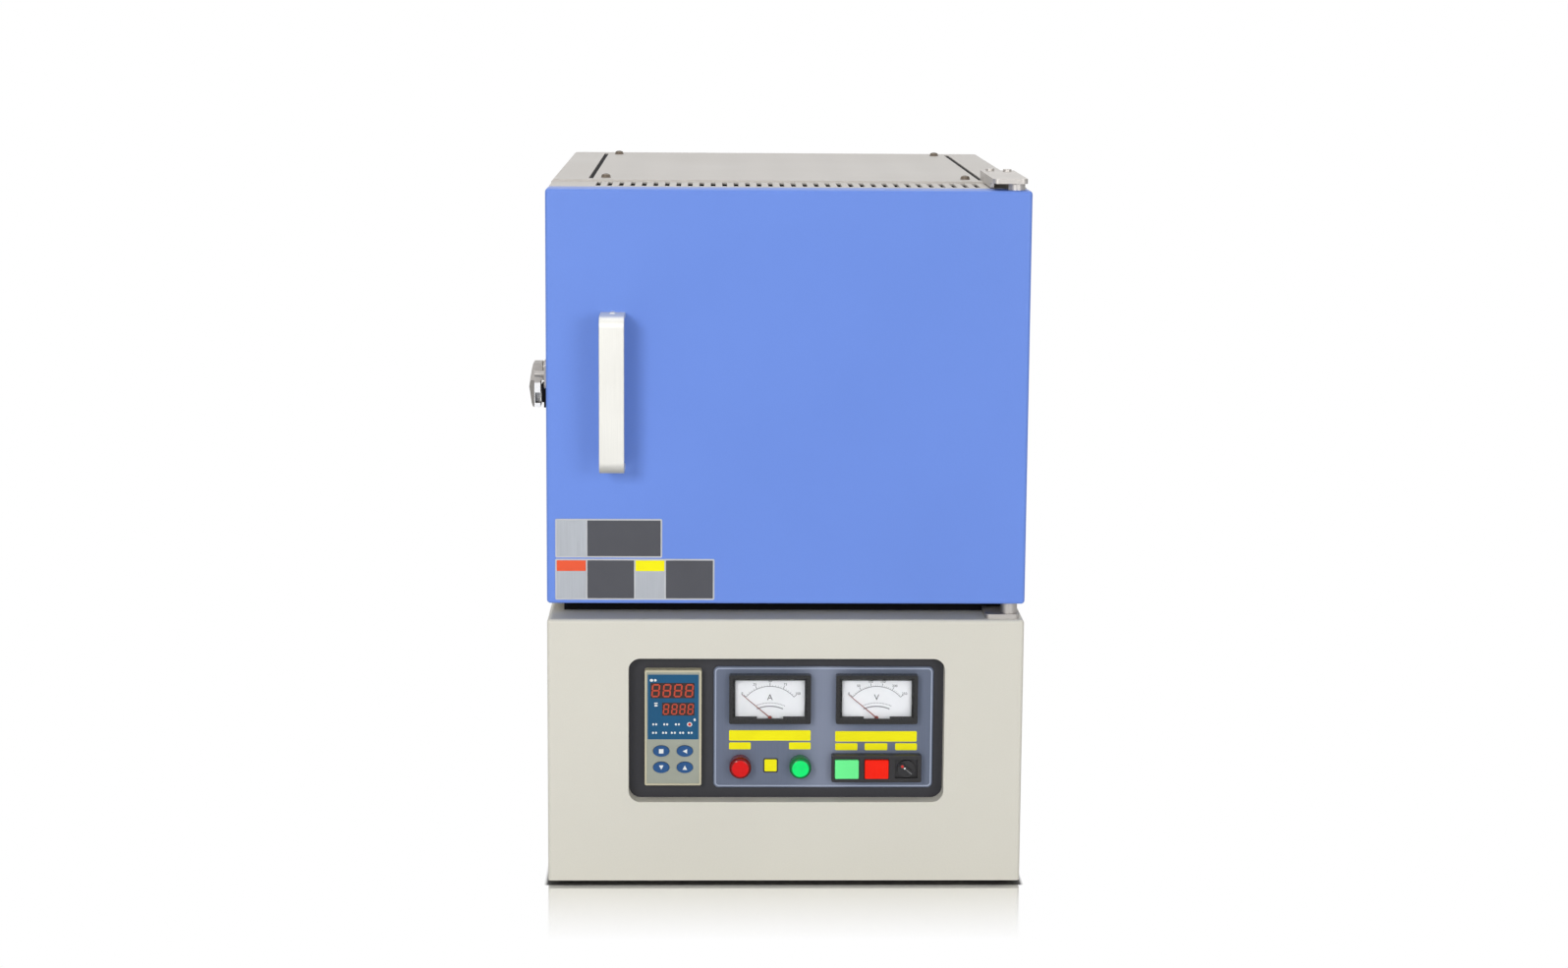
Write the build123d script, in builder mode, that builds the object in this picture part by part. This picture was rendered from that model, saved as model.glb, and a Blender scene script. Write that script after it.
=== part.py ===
from build123d import *

import os
from math import cos, pi, radians, sin

# Bench muffle furnace: a chamber cabinet with a side-hung door on a base that holds
# the power and control gear. Millimetres, +Z up, the front faces -Y. The origin is on the
# floor under the middle of the base.

os.makedirs("parts", exist_ok=True)

# Body
BODY_W = 400.0
BODY_D = 500.0
SHEET = 1.5
EDGE_R = 3.0
FOOT_H = 3.5
BASE_H = 226.0
RAIL_H = 8.0
SKIN_GAP = 0.3
FIT = 0.05

# Base box
BASE_FLANGE = 40.0
REAR_FLANGE = 14.0
FLOOR_T = 2.0
FOOT_R = 15.0
FOOT_INSET = 24.0
FOOT_STEM_R = 4.0
FOOT_STEM_H = 6.0
COVER_INSET = 9.0
FLOOR_SLOT_N = 6
FLOOR_SLOT_PITCH = 16.0
FLOOR_SLOT_L = 60.0
FLOOR_SLOT_W = 5.0

# Control window in the base front and the black panel behind it
WINDOW_W = 266.0
WINDOW_H = 124.0
WINDOW_R = 10.0
WINDOW_X = 1.0
WINDOW_Z = 134.0
WINDOW_DEPTH = 15.0
PANEL_LAP = 9.0
PANEL_T = 2.0

# Grey instrument plate on the black panel
PLATE_W = 186.2
PLATE_H = 105.4
PLATE_R = 4.5
PLATE_X = 32.5
PLATE_Z = 133.6
PLATE_T = 2.0
PLATE_EDGE_R = 0.8

# Temperature controller
CTRL_W = 48.0
CTRL_H = 100.0
CTRL_R = 1.5
CTRL_EDGE_R = 0.9
CTRL_X = -94.6
CTRL_Z = 134.6
CTRL_PROUD = 9.0
CTRL_BODY_W = 44.0
CTRL_BODY_H = 91.0
CTRL_BODY_D = 75.0
CTRL_RIM = 1.8
CTRL_FACE_T = 1.2
CTRL_FACE_SET = 0.4
CTRL_FACE_FIT = 0.1
KEY_W = 13.5
KEY_H = 9.5
KEY_PITCH_X = 19.9
KEY_PITCH_Z = 14.2
KEY_DROP = 27.0
KEY_T = 2.2
KEY_PROUD = 0.9
KEY_TRAVEL = 0.8
KEY_WELL_GAP = 0.6

# Panel meters
METER_W = 69.0
METER_H = 42.0
METER_R = 1.5
METER_Z = 159.3
METER_X = (-12.9, 77.3)
METER_PROUD = 7.5
METER_BEVEL = 4.0
METER_BODY_D = 30.0
METER_BODY_IN = 3.5
METER_WALL = 2.5
GLASS_W = 58.6
GLASS_H = 31.0
GLASS_LIFT = 0.6
GLASS_T = 1.2
GLASS_SET = 2.2
METER_NOTCH_W = 22.0
METER_NOTCH_H = 1.7
PANE_GAP = 0.2
DIAL_SET = 6.4
DIAL_T = 0.8
NEEDLE_SET = 4.6
NEEDLE_L = 31.0
NEEDLE_W = 0.9
NEEDLE_TIP_W = 0.36
NEEDLE_T = 0.6
NEEDLE_HUB_R = 1.6
NEEDLE_PIVOT_R = 0.8
NEEDLE_PIVOT_RISE = 4.4
NEEDLE_REST = 50.0

# Signal lamps
LAMP_X = (-37.8, 13.0)
LAMP_Z = 100.5
LAMP_R = 9.3
LAMP_PROUD = 12.0
LAMP_CROWN = 3.4
LAMP_BODY_R = 7.8
LAMP_BODY_D = 32.0
LAMP_NUT_R = 10.5
LAMP_NUT_T = 4.0

# Push buttons and selector in one black frame
SWITCH_W = 76.0
SWITCH_H = 23.4
SWITCH_R = 1.2
SWITCH_X = 77.6
SWITCH_Z = 99.4
SWITCH_PROUD = 8.0
SWITCH_EDGE_R = 0.8
SWITCH_BODY_IN = 1.2
SWITCH_BODY_D = 34.0
BUTTON_W = 20.2
BUTTON_H = 16.3
BUTTON_PROUD = 2.2
BUTTON_T = 9.0
BUTTON_R = 1.0
BUTTON_EDGE_R = 0.7
BUTTON_TRAVEL = 3.0
BUTTON_WELL_ROOM = 1.0
BUTTON_PITCH = 25.2
BUTTON_GAP = 0.35
SELECTOR_SEAT_W = 19.2
SELECTOR_SEAT_H = 16.4
SELECTOR_SEAT_D = 3.0
SELECTOR_R = 7.3
SELECTOR_T = 2.4
SELECTOR_GRIP_L = 13.6
SELECTOR_GRIP_W = 3.4
SELECTOR_GRIP_H = 3.4
SELECTOR_STEM_R = 3.0
SELECTOR_STEM_L = 12.0
SELECTOR_STEM_ROOM = 1.0
SELECTOR_REST = -40.0

# Cabinet
FRAME_D = 57.0
FRAME_LAP = 6.0
SLOT_N = 34
SLOT_PITCH = 9.6
SLOT_W = 4.0
SLOT_L = 44.0
SLOT_SET = 5.0
COVER_SIDE_IN = 35.0
COVER_REAR_IN = 23.0
COVER_SET = 17.0
COVER_GAP = 4.0
COVER_TURN = 9.0
COVER_TURN_END = 2.0
LEDGE_D = 22.0
SCREW_R = 4.4
SCREW_H = 2.4
SCREW_TAPER = 18.0
SCREW_SHANK_R = 2.0
SCREW_EDGE_X = 10.5
SCREW_EDGE_Y = 11.0
CABINET_FLANGE = 14.0
MOUTH_EDGE = 4.0
MOUTH_R = 6.0
RAIL_IN = 68.0
RAIL_W = 30.0
RAIL_FRONT_IN = 14.0
RAIL_REAR_IN = 24.0

# Insulation and chamber
AIR_GAP_FLOOR = 14.0
WOOL_SIDE_GAP = 50.0
WOOL_D = 325.0
WOOL_BOTTOM = 75.0
WOOL_TOP = 70.0
WOOL_FRONT = 55.0
CHAMBER_WALL = 65.0
CHAMBER_H = 130.0
CHAMBER_D = 190.0
THROAT_STEP = 25.0
THROAT_H = 110.0
PLUG_OVER = 10.0
PLUG_H = 170.0
PLUG_DEPTH = 20.0
PLUG_TAPER = 4.0
PLUG_FIT = 4.0
PLUG_END_GAP = 2.0
PLUG_LINER_GAP = 0.5
SLAB_OVER = 35.0
SLAB_H = 250.0
CASE_T = 1.2
CASE_OPEN_SIDE = 5.0
CASE_OPEN_END = 10.0
CASE_FOOT_D = 25.0
CASE_FOOT_FRONT = 30.0
CASE_FOOT_REAR = 35.0
HEARTH_SIDE_IN = 29.0
HEARTH_D = 178.0
HEARTH_T = 8.0
HEARTH_R = 4.0

# Heating elements: U-shaped rods that hang through the roof
ELEMENT_N = 3
ELEMENT_PITCH = 55.0
ELEMENT_SIDE_IN = 15.0
ELEMENT_SPAN = 26.0
HOT_R = 2.0
COLD_R = 3.5
HOT_DROP = 14.0
COLD_DROP = 4.0
TERMINAL_H = 42.0
BRICK_W = 24.0
BRICK_END = 14.0
BRICK_FLANGE = 6.0
BRICK_FLANGE_T = 8.0
CLIP_W = 14.0
CLIP_H = 9.0
STRAP_W = 9.0
STRAP_T = 1.6
STRAP_H = 7.0
STRAP_END_W = 12.0
STRAP_BOW = 7.0
STRAP_LIFT = 6.0

# Thermocouple
PROBE_R = 4.0
PROBE_REACH = 18.0
PROBE_DROP = 26.0
PROBE_FLANGE_R = 16.0
PROBE_FLANGE_T = 4.0
PROBE_NECK_R = 5.5
PROBE_NECK_L = 14.0
PROBE_HEAD_R = 13.0
PROBE_HEAD_L = 30.0
PROBE_HEAD_EDGE_R = 3.0
PROBE_HOLE = 0.5

# Door
DOOR_LIFT = 13.5
DOOR_H = 346.3
DOOR_T = 26.0
DOOR_GAP = 7.0
PIVOT_BLOCK_H = 22.0
PIVOT_BLOCK_W = 24.0
HANDLE_IN = 55.4
HANDLE_Z = 423.0
HANDLE_W = 20.6
HANDLE_L = 130.0
HANDLE_T = 4.0
HANDLE_OUT = 35.0
HANDLE_R = 9.0
HANDLE_EDGE_R = 0.8
HANDLE_BOSS_R = 5.0
HANDLE_BOSS_L = 12.0
HANDLE_BOSS_IN = 4.2
HANDLE_SCREW_R = 2.5
HANDLE_SCREW_HEAD_R = 4.5
HANDLE_SCREW_HEAD_H = 3.0
HANDLE_SCREW_L = 9.0
HANDLE_SCREW_END = 1.0

# Door hinges
HINGE_IN = 12.0
HINGE_Y = 14.0
PIN_R = 4.0
PIN_COLLAR_R = 7.0
PIN_SEAT_L = 18.0
PIN_SEAT_FIT = 0.02
BRACKET_W = 29.0
BRACKET_SIDE = 8.5
BRACKET_T = 4.0
BRACKET_EDGE_R = 5.0
UPPER_RISE = 4.0
UPPER_FRONT = 11.0
UPPER_PAD_L = 26.0
UPPER_PAD_IN = 2.0
UPPER_TURN_T = 3.0
UPPER_TURN_GAP = 1.0
LOWER_FRONT = 10.0
LOWER_BACK = 82.0
HINGE_SCREW_R = 3.6
HINGE_SCREW_H = 2.0
UPPER_SCREW_X = 7.0
UPPER_SCREW_END = 9.0
UPPER_SCREW_STEP = 8.0
LOWER_SCREW_END = 12.0
LOWER_SCREW_STEP = 24.0

# Side latch
LATCH_Z = 433.4
LATCH_Y = 45.0
LATCH_REACH = 23.0
LATCH_BASE_T = 4.0
LATCH_BASE_W = 30.0
LATCH_BASE_R = 3.0
LATCH_GAP = 0.5
LATCH_T = 8.0
LATCH_HUB_H = 14.6
LATCH_ARM_W = 18.0
LATCH_ARM_L = 30.0
LATCH_RELIEF = 2.0
LATCH_SHOULDER = 1.6
LATCH_RIDGE = 3.9
LATCH_RIDGE_DROP = 13.6
LATCH_TOE = 1.7
LATCH_TOE_RISE = 3.2
LATCH_END_OUT = 0.5
LATCH_FACET = 9.0
LATCH_FACET_IN = 0.9
LATCH_EDGE_R = 1.2
LATCH_PIN_R = 3.0
LATCH_HEAD_R = 4.5
LATCH_HEAD_H = 1.8
LATCH_HEAD_SET = 1.6
NOTCH_GAP = 1.0
NOTCH_RISE = 1.8
NOTCH_D = 4.6
KEEPER_R = 2.5
KEEPER_PLATE_T = 2.0
KEEPER_PLATE_W = 14.0
KEEPER_PLATE_H = 22.0
KEEPER_PLATE_R = 3.0
KEEPER_END = 0.6

# Rear services
FAN_IN = 88.0
FAN_Z = 120.0
FAN_W = 92.0
FAN_D = 25.0
FAN_CORNER_R = 4.0
FAN_BORE_R = 43.0
FAN_TIP_GAP = 1.2
FAN_HUB_R = 17.0
FAN_HUB_D = 18.0
FAN_HUB_GAP = 0.8
FAN_BLADES = 7
BLADE_T = 1.8
BLADE_CHORD = 19.2
BLADE_ANGLE = 42.0
BLADE_BOW = 2.2
BLADE_ROOT_IN = 2.0
FAN_SHAFT_R = 2.0
SPIDER_T = 4.0
SPIDER_HUB_R = 13.6
SPIDER_ARM_W = 5.0
SPIDER_ARM_LAP = 1.0
GUARD_T = 1.6
GUARD_RINGS = 4
GUARD_BAR = 2.4
GUARD_ARM_W = 3.4
GUARD_OFF = 3.0
GUARD_PAD_R = 4.5
GUARD_PAD_OUT = 9.0
LOUVRE_N = 7
LOUVRE_W = 60.0
LOUVRE_H = 9.0
LOUVRE_OUT = 4.6
LOUVRE_PITCH = 16.0
LOUVRE_X = -20.0
LOUVRE_Z = 120.0
LOUVRE_T = 1.2
GLAND_IN = 60.0
GLAND_Z = 52.0
GLAND_R = 11.0
GLAND_HEX = 26.0
GLAND_BORE_R = 5.5
GLAND_L = 22.0
GLAND_HEX_T = 6.0
GLAND_DOME_R = 4.0
GLAND_DOME_OUT = 0.6
GLAND_TAIL_L = 10.0
GLAND_NUT_T = 5.0
REAR_SLOT_N = 9
REAR_SLOT_W = 24.0
REAR_SLOT_H = 5.0
REAR_SLOT_PITCH = 34.0
REAR_SLOT_ROWS = (34.0, 48.0)

# Power gear in the base
CORE_SIDE_IN = 105.0
CORE_Y = 40.0
CORE_W = 126.0
CORE_H = 106.0
CORE_T = 52.0
CORE_LIMB = 42.0
CORE_YOKE = 21.0
COIL_OUT = 18.0
COIL_R = 8.0
COIL_GAP = 1.0
COIL_FIT = 0.4
SINK_CORE_GAP = 20.0
SINK_Y = 60.0
SINK_W = 84.0
SINK_L = 110.0
SINK_BASE_T = 8.0
SINK_H = 44.0
FIN_N = 9
FIN_T = 2.2
MODULE_W = 34.0
MODULE_L = 92.0
MODULE_H = 30.0
MODULE_STEP_H = 21.6
MODULE_TOP_W = 22.6
MODULE_TOP_L = 77.0
STUD_N = 3
STUD_PITCH = 26.0
STUD_R = 4.5
STUD_H = 4.0
TERM_X = -60.0
TERM_REAR_IN = 80.0
TERM_W = 92.0
TERM_D = 26.0
TERM_H = 22.0
TERM_N = 6
TERM_WALL = 2.4
TERM_CUT = 12.0

# Places worked out from the sizes
front_y = -BODY_D / 2
rear_y = BODY_D / 2
half_w = BODY_W / 2
base_z = FOOT_H
base_top = base_z + BASE_H
floor_z = base_z + SHEET + FLOOR_T
cabinet_z = base_top + RAIL_H
door_z = base_top + DOOR_LIFT
door_top = door_z + DOOR_H
door_back = front_y + DOOR_T
cabinet_y = door_back + DOOR_GAP
frame_back = cabinet_y + FRAME_D
deck_top = door_top + SHEET
panel_y = front_y + WINDOW_DEPTH
plate_y = panel_y - PLATE_T
cabinet_floor_z = cabinet_z + SHEET
wool_y = cabinet_y + SHEET
wool_back = wool_y + WOOL_D
wool_z = cabinet_floor_z + SHEET + AIR_GAP_FLOOR + CASE_T
chamber_z = wool_z + WOOL_BOTTOM
chamber_top = chamber_z + CHAMBER_H
wool_top = chamber_top + WOOL_TOP
chamber_y = wool_y + WOOL_FRONT
chamber_back = chamber_y + CHAMBER_D
chamber_mid_y = (chamber_y + chamber_back) / 2
mouth_z = chamber_z + THROAT_H / 2
wool_w = BODY_W - 2 * WOOL_SIDE_GAP
chamber_w = wool_w - 2 * CHAMBER_WALL
throat_w = chamber_w - 2 * THROAT_STEP
hearth_w = chamber_w - 2 * HEARTH_SIDE_IN
element_x = chamber_w / 2 - ELEMENT_SIDE_IN
brick_l = (ELEMENT_N - 1) * ELEMENT_PITCH + ELEMENT_SPAN + 2 * BRICK_END
plug_w = chamber_w + 2 * PLUG_OVER
slab_w = plug_w + 2 * SLAB_OVER
mouth_w = plug_w + 2 * PLUG_FIT
mouth_h = PLUG_H + 2 * PLUG_FIT
hinge_y = front_y + HINGE_Y
hinge_x = half_w - HINGE_IN
handle_x = -half_w + HANDLE_IN
rail_x = half_w - RAIL_IN
fan_x = half_w - FAN_IN
gland_x = -half_w + GLAND_IN
core_x = -half_w + CORE_SIDE_IN
sink_x = core_x + CORE_W / 2 + SINK_CORE_GAP + SINK_W / 2
term_y = rear_y - TERM_REAR_IN
cover_y = frame_back + COVER_SET
cover_back = rear_y - COVER_REAR_IN
cover_d = cover_back - cover_y
cover_w = BODY_W - 2 * COVER_SIDE_IN
handle_bosses = [HANDLE_Z + sz * (HANDLE_L / 2 - HANDLE_BOSS_IN) for sz in (-1, 1)]
latch_y = front_y + LATCH_Y
keeper_y = latch_y - LATCH_REACH


def facing(y):
    """A plane across the front-to-back axis, seen from the front: local X, Z at depth y."""
    return Plane.XZ.offset(-y)


def sideways(x):
    """A plane across the body at x: local Y, Z."""
    return Plane.YZ.offset(x)


def level(z):
    """A level plane at height z: local X, Y."""
    return Plane.XY.offset(z)


def save(builder, name):
    """Labels the piece and writes it to its file."""
    builder.part.label = name
    export_step(builder.part, f"parts/{name}.step")


def front_block(x, z, width, height, y_front, depth, radius=0.0, mode=Mode.ADD):
    """A block with its outline in X and Z, from y_front backwards."""
    with BuildSketch(facing(y_front)) as outline:
        with Locations((x, z)):
            if radius:
                RectangleRounded(width, height, radius)
            else:
                Rectangle(width, height)
    extrude(outline.sketch, amount=-depth, mode=mode)


def level_block(x_lo, x_hi, y_lo, y_hi, z_lo, z_hi, mode=Mode.ADD):
    """A block between two corners."""
    with BuildSketch(level(z_lo)) as outline:
        with Locations(((x_lo + x_hi) / 2, (y_lo + y_hi) / 2)):
            Rectangle(x_hi - x_lo, y_hi - y_lo)
    extrude(outline.sketch, amount=z_hi - z_lo, mode=mode)


def round_along_y(x, z, radius, y_front, depth, mode=Mode.ADD):
    """A cylinder along the front-to-back axis, from y_front backwards."""
    with BuildSketch(facing(y_front)) as outline:
        with Locations((x, z)):
            Circle(radius)
    extrude(outline.sketch, amount=-depth, mode=mode)


# Base shell: folded front, top and sides, with a turned-in window edge and inner flanges
base_back = rear_y - SHEET
with BuildPart() as base_shell:
    level_block(-half_w, half_w, front_y, base_back, base_z, base_top)
    uprights = base_shell.edges().filter_by(Axis.Z).group_by(Axis.Y)[0]
    top_edges = base_shell.edges().group_by(Axis.Z)[-1].sort_by(Axis.Y)[:-1]
    fillet(uprights + top_edges, EDGE_R)
    level_block(
        -half_w + SHEET, half_w - SHEET, front_y + SHEET, base_back - SHEET,
        base_z + SHEET, base_top - SHEET, mode=Mode.SUBTRACT,
    )
    front_block(WINDOW_X, WINDOW_Z, WINDOW_W + 2 * SHEET, WINDOW_H + 2 * SHEET, front_y + SHEET,
                WINDOW_DEPTH - SHEET, WINDOW_R + SHEET)
    front_block(WINDOW_X, WINDOW_Z, WINDOW_W, WINDOW_H, front_y, WINDOW_DEPTH, WINDOW_R,
                mode=Mode.SUBTRACT)
    level_block(
        -half_w + SHEET + BASE_FLANGE, half_w - SHEET - BASE_FLANGE, front_y + SHEET + BASE_FLANGE,
        base_back - SHEET - BASE_FLANGE, base_z, base_z + SHEET, mode=Mode.SUBTRACT,
    )
    front_block(0, (base_z + base_top) / 2, BODY_W - 2 * (SHEET + REAR_FLANGE),
                BASE_H - 2 * (SHEET + REAR_FLANGE), base_back - SHEET, SHEET, mode=Mode.SUBTRACT)
    with BuildSketch(level(base_z)):
        with GridLocations(BODY_W - 2 * FOOT_INSET, BODY_D - 2 * FOOT_INSET, 2, 2):
            Circle(FOOT_STEM_R + FIT)
    extrude(amount=SHEET, mode=Mode.SUBTRACT)
save(base_shell, "base_shell")

# Base floor: a pan that rests on the shell's bottom flanges
with BuildPart() as base_floor:
    pan_w = BODY_W - 2 * (SHEET + SKIN_GAP)
    pan_y_lo = front_y + SHEET + SKIN_GAP
    pan_y_hi = base_back - SHEET - SKIN_GAP
    level_block(-pan_w / 2, pan_w / 2, pan_y_lo, pan_y_hi, base_z + SHEET, floor_z)
    with BuildSketch(level(base_z + SHEET)):
        with GridLocations(BODY_W - 2 * FOOT_INSET, BODY_D - 2 * FOOT_INSET, 2, 2):
            Circle(FOOT_STEM_R + FIT)
    extrude(amount=FLOOR_T, mode=Mode.SUBTRACT)
    with BuildSketch(level(base_z + SHEET)):
        with Locations((sink_x, SINK_Y - SINK_L)):
            with GridLocations(FLOOR_SLOT_PITCH, 0, FLOOR_SLOT_N, 1):
                SlotOverall(FLOOR_SLOT_L, FLOOR_SLOT_W, rotation=90)
    extrude(amount=FLOOR_T, mode=Mode.SUBTRACT)
save(base_floor, "base_floor")

# Feet: rubber pads with a stem through the flange and the pan
with BuildPart() as feet:
    with BuildSketch(level(0)):
        with GridLocations(BODY_W - 2 * FOOT_INSET, BODY_D - 2 * FOOT_INSET, 2, 2):
            Circle(FOOT_R)
    extrude(amount=FOOT_H)
    with BuildSketch(level(FOOT_H)):
        with GridLocations(BODY_W - 2 * FOOT_INSET, BODY_D - 2 * FOOT_INSET, 2, 2):
            Circle(FOOT_STEM_R)
    extrude(amount=FOOT_STEM_H)
save(feet, "feet")

# Base rear cover: a flat plate with bent louvres, a fan hole and the cable inlet hole
cover_mid_z = (base_z + base_top) / 2
louvre_rows = [LOUVRE_Z + (i - (LOUVRE_N - 1) / 2) * LOUVRE_PITCH for i in range(LOUVRE_N)]
with BuildPart() as base_rear_cover:
    front_block(0, cover_mid_z, BODY_W - 2 * SKIN_GAP, BASE_H - 2 * SKIN_GAP, base_back, SHEET, EDGE_R)
    round_along_y(fan_x, FAN_Z, FAN_BORE_R, base_back, SHEET, mode=Mode.SUBTRACT)
    round_along_y(gland_x, GLAND_Z, GLAND_R, base_back, SHEET, mode=Mode.SUBTRACT)
    for row_z in louvre_rows:
        with BuildSketch(sideways(LOUVRE_X - LOUVRE_W / 2)):
            with BuildLine():
                Line((rear_y, row_z), (rear_y + LOUVRE_OUT, row_z))
                RadiusArc((rear_y + LOUVRE_OUT, row_z), (rear_y, row_z + LOUVRE_H), -2 * LOUVRE_H)
                Line((rear_y, row_z + LOUVRE_H), (rear_y, row_z))
            make_face()
        extrude(amount=LOUVRE_W)
        with BuildSketch(sideways(LOUVRE_X - LOUVRE_W / 2 + LOUVRE_T)):
            with BuildLine():
                Polyline(
                    (base_back, row_z), (rear_y + LOUVRE_OUT - LOUVRE_T, row_z),
                    (rear_y, row_z + LOUVRE_H - LOUVRE_T), (base_back, row_z + LOUVRE_H - LOUVRE_T),
                    close=True,
                )
            make_face()
        extrude(amount=LOUVRE_W - 2 * LOUVRE_T, mode=Mode.SUBTRACT)
    with BuildSketch(facing(base_back)):
        with Locations((0, cover_mid_z)):
            with GridLocations(BODY_W - 2 * COVER_INSET, BASE_H - 2 * COVER_INSET, 2, 2):
                Circle(SCREW_SHANK_R + FIT)
    extrude(amount=-SHEET, mode=Mode.SUBTRACT)
save(base_rear_cover, "base_rear_cover")

# Black control panel behind the window
controller_hole_w = CTRL_BODY_W + 2 * SKIN_GAP
controller_hole_h = CTRL_BODY_H + 2 * SKIN_GAP
meter_body_w = METER_W - 2 * METER_BODY_IN
meter_body_h = METER_H - 2 * METER_BODY_IN
switch_body_w = SWITCH_W - 2 * SWITCH_BODY_IN
switch_body_h = SWITCH_H - 2 * SWITCH_R


def control_cutouts(y_front, depth):
    """Holes for the meters, lamps and the switch frame, through a plate from y_front backwards."""
    for meter_x in METER_X:
        front_block(meter_x, METER_Z, meter_body_w + 2 * SKIN_GAP, meter_body_h + 2 * SKIN_GAP,
                    y_front, depth, mode=Mode.SUBTRACT)
    for lamp_x in LAMP_X:
        round_along_y(lamp_x, LAMP_Z, LAMP_BODY_R + FIT, y_front, depth, mode=Mode.SUBTRACT)
    front_block(SWITCH_X, SWITCH_Z, switch_body_w + 2 * SKIN_GAP, switch_body_h + 2 * SKIN_GAP,
                y_front, depth, mode=Mode.SUBTRACT)


with BuildPart() as control_panel:
    front_block(WINDOW_X, WINDOW_Z, WINDOW_W + 2 * PANEL_LAP, WINDOW_H + 2 * PANEL_LAP, panel_y,
                PANEL_T, WINDOW_R)
    front_block(CTRL_X, CTRL_Z, controller_hole_w, controller_hole_h, panel_y, PANEL_T,
                mode=Mode.SUBTRACT)
    control_cutouts(panel_y, PANEL_T)
save(control_panel, "control_panel")

# Grey instrument plate
with BuildPart() as instrument_plate:
    front_block(PLATE_X, PLATE_Z, PLATE_W, PLATE_H, plate_y, PLATE_T, PLATE_R)
    fillet(instrument_plate.edges().group_by(Axis.Y)[0], PLATE_EDGE_R)
    control_cutouts(plate_y, PLATE_T)
save(instrument_plate, "instrument_plate")

# Temperature controller: bezel and deep case in one, with a pocket for its face
ctrl_front = panel_y - CTRL_PROUD
face_y = ctrl_front + CTRL_FACE_SET
face_w = CTRL_W - 2 * CTRL_RIM
face_h = CTRL_H - 2 * CTRL_RIM
key_places = [
    (CTRL_X + i * KEY_PITCH_X / 2, CTRL_Z - KEY_DROP + j * KEY_PITCH_Z / 2)
    for j in (1, -1)
    for i in (-1, 1)
]
with BuildPart() as controller_case:
    front_block(CTRL_X, CTRL_Z, CTRL_W, CTRL_H, ctrl_front, CTRL_PROUD, CTRL_R)
    fillet(controller_case.edges().group_by(Axis.Y)[0], CTRL_EDGE_R)
    front_block(CTRL_X, CTRL_Z, CTRL_BODY_W, CTRL_BODY_H, panel_y, CTRL_BODY_D)
    front_block(CTRL_X, CTRL_Z, face_w, face_h, ctrl_front, CTRL_FACE_SET + CTRL_FACE_T,
                mode=Mode.SUBTRACT)
    for key_x, key_z in key_places:
        with BuildSketch(facing(face_y)):
            with Locations((key_x, key_z)):
                Ellipse(KEY_W / 2 + KEY_WELL_GAP, KEY_H / 2 + KEY_WELL_GAP)
        extrude(amount=-(KEY_T - KEY_PROUD + KEY_TRAVEL + KEY_WELL_GAP), mode=Mode.SUBTRACT)
save(controller_case, "controller_case")

# Controller face: a thin sheet with four oval key holes
with BuildPart() as controller_face:
    front_block(CTRL_X, CTRL_Z, face_w - 2 * CTRL_FACE_FIT, face_h - 2 * CTRL_FACE_FIT, face_y,
                CTRL_FACE_T)
    for key_x, key_z in key_places:
        with BuildSketch(facing(face_y)):
            with Locations((key_x, key_z)):
                Ellipse(KEY_W / 2 + SKIN_GAP, KEY_H / 2 + SKIN_GAP)
        extrude(amount=-CTRL_FACE_T, mode=Mode.SUBTRACT)
save(controller_face, "controller_face")

# Controller keys: four oval pads that press in
key_names = ("set_key", "shift_key", "down_key", "up_key")
for key_name, (key_x, key_z) in zip(key_names, key_places):
    with BuildPart() as key_pad:
        with BuildSketch(facing(face_y - KEY_PROUD)):
            with Locations((key_x, key_z)):
                Ellipse(KEY_W / 2, KEY_H / 2)
        extrude(amount=-KEY_T)
    save(key_pad, key_name)

# Meter cases: a bevelled bezel round the glass, a dial chamber and a body behind the panel
meter_front = plate_y - METER_PROUD
glass_z = METER_Z + GLASS_LIFT
pivot_z = METER_Z - METER_H / 2 + NEEDLE_PIVOT_RISE
dial_room_w = METER_W - 2 * METER_WALL
dial_room_h = METER_H - 2 * METER_WALL
with BuildPart() as meter_cases:
    for meter_x in METER_X:
        front_block(meter_x, METER_Z, METER_W, METER_H, meter_front, METER_PROUD, METER_R)
        with BuildSketch(facing(plate_y)):
            with Locations((meter_x, METER_Z)):
                Rectangle(meter_body_w, meter_body_h)
        extrude(amount=-METER_BODY_D)
        with BuildSketch(facing(meter_front)):
            with Locations((meter_x, glass_z)):
                Rectangle(GLASS_W + METER_BEVEL, GLASS_H + METER_BEVEL)
        with BuildSketch(facing(meter_front + GLASS_SET)):
            with Locations((meter_x, glass_z)):
                Rectangle(GLASS_W, GLASS_H)
        loft(mode=Mode.SUBTRACT)
        front_block(meter_x, glass_z - (GLASS_H + METER_NOTCH_H) / 2, METER_NOTCH_W, METER_NOTCH_H,
                    meter_front, GLASS_SET, mode=Mode.SUBTRACT)
        front_block(meter_x, METER_Z, dial_room_w, dial_room_h, meter_front + GLASS_SET,
                    DIAL_SET - GLASS_SET + DIAL_T, mode=Mode.SUBTRACT)
save(meter_cases, "meter_cases")

# Meter dials: thin printed plates at the back of the dial chamber, with a pivot hole
with BuildPart() as meter_dials:
    for meter_x in METER_X:
        front_block(meter_x, METER_Z, dial_room_w - 2 * PANE_GAP, dial_room_h - 2 * PANE_GAP,
                    meter_front + DIAL_SET, DIAL_T)
        round_along_y(meter_x, pivot_z, NEEDLE_PIVOT_R + FIT, meter_front + DIAL_SET, DIAL_T,
                      mode=Mode.SUBTRACT)
save(meter_dials, "meter_dials")

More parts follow.
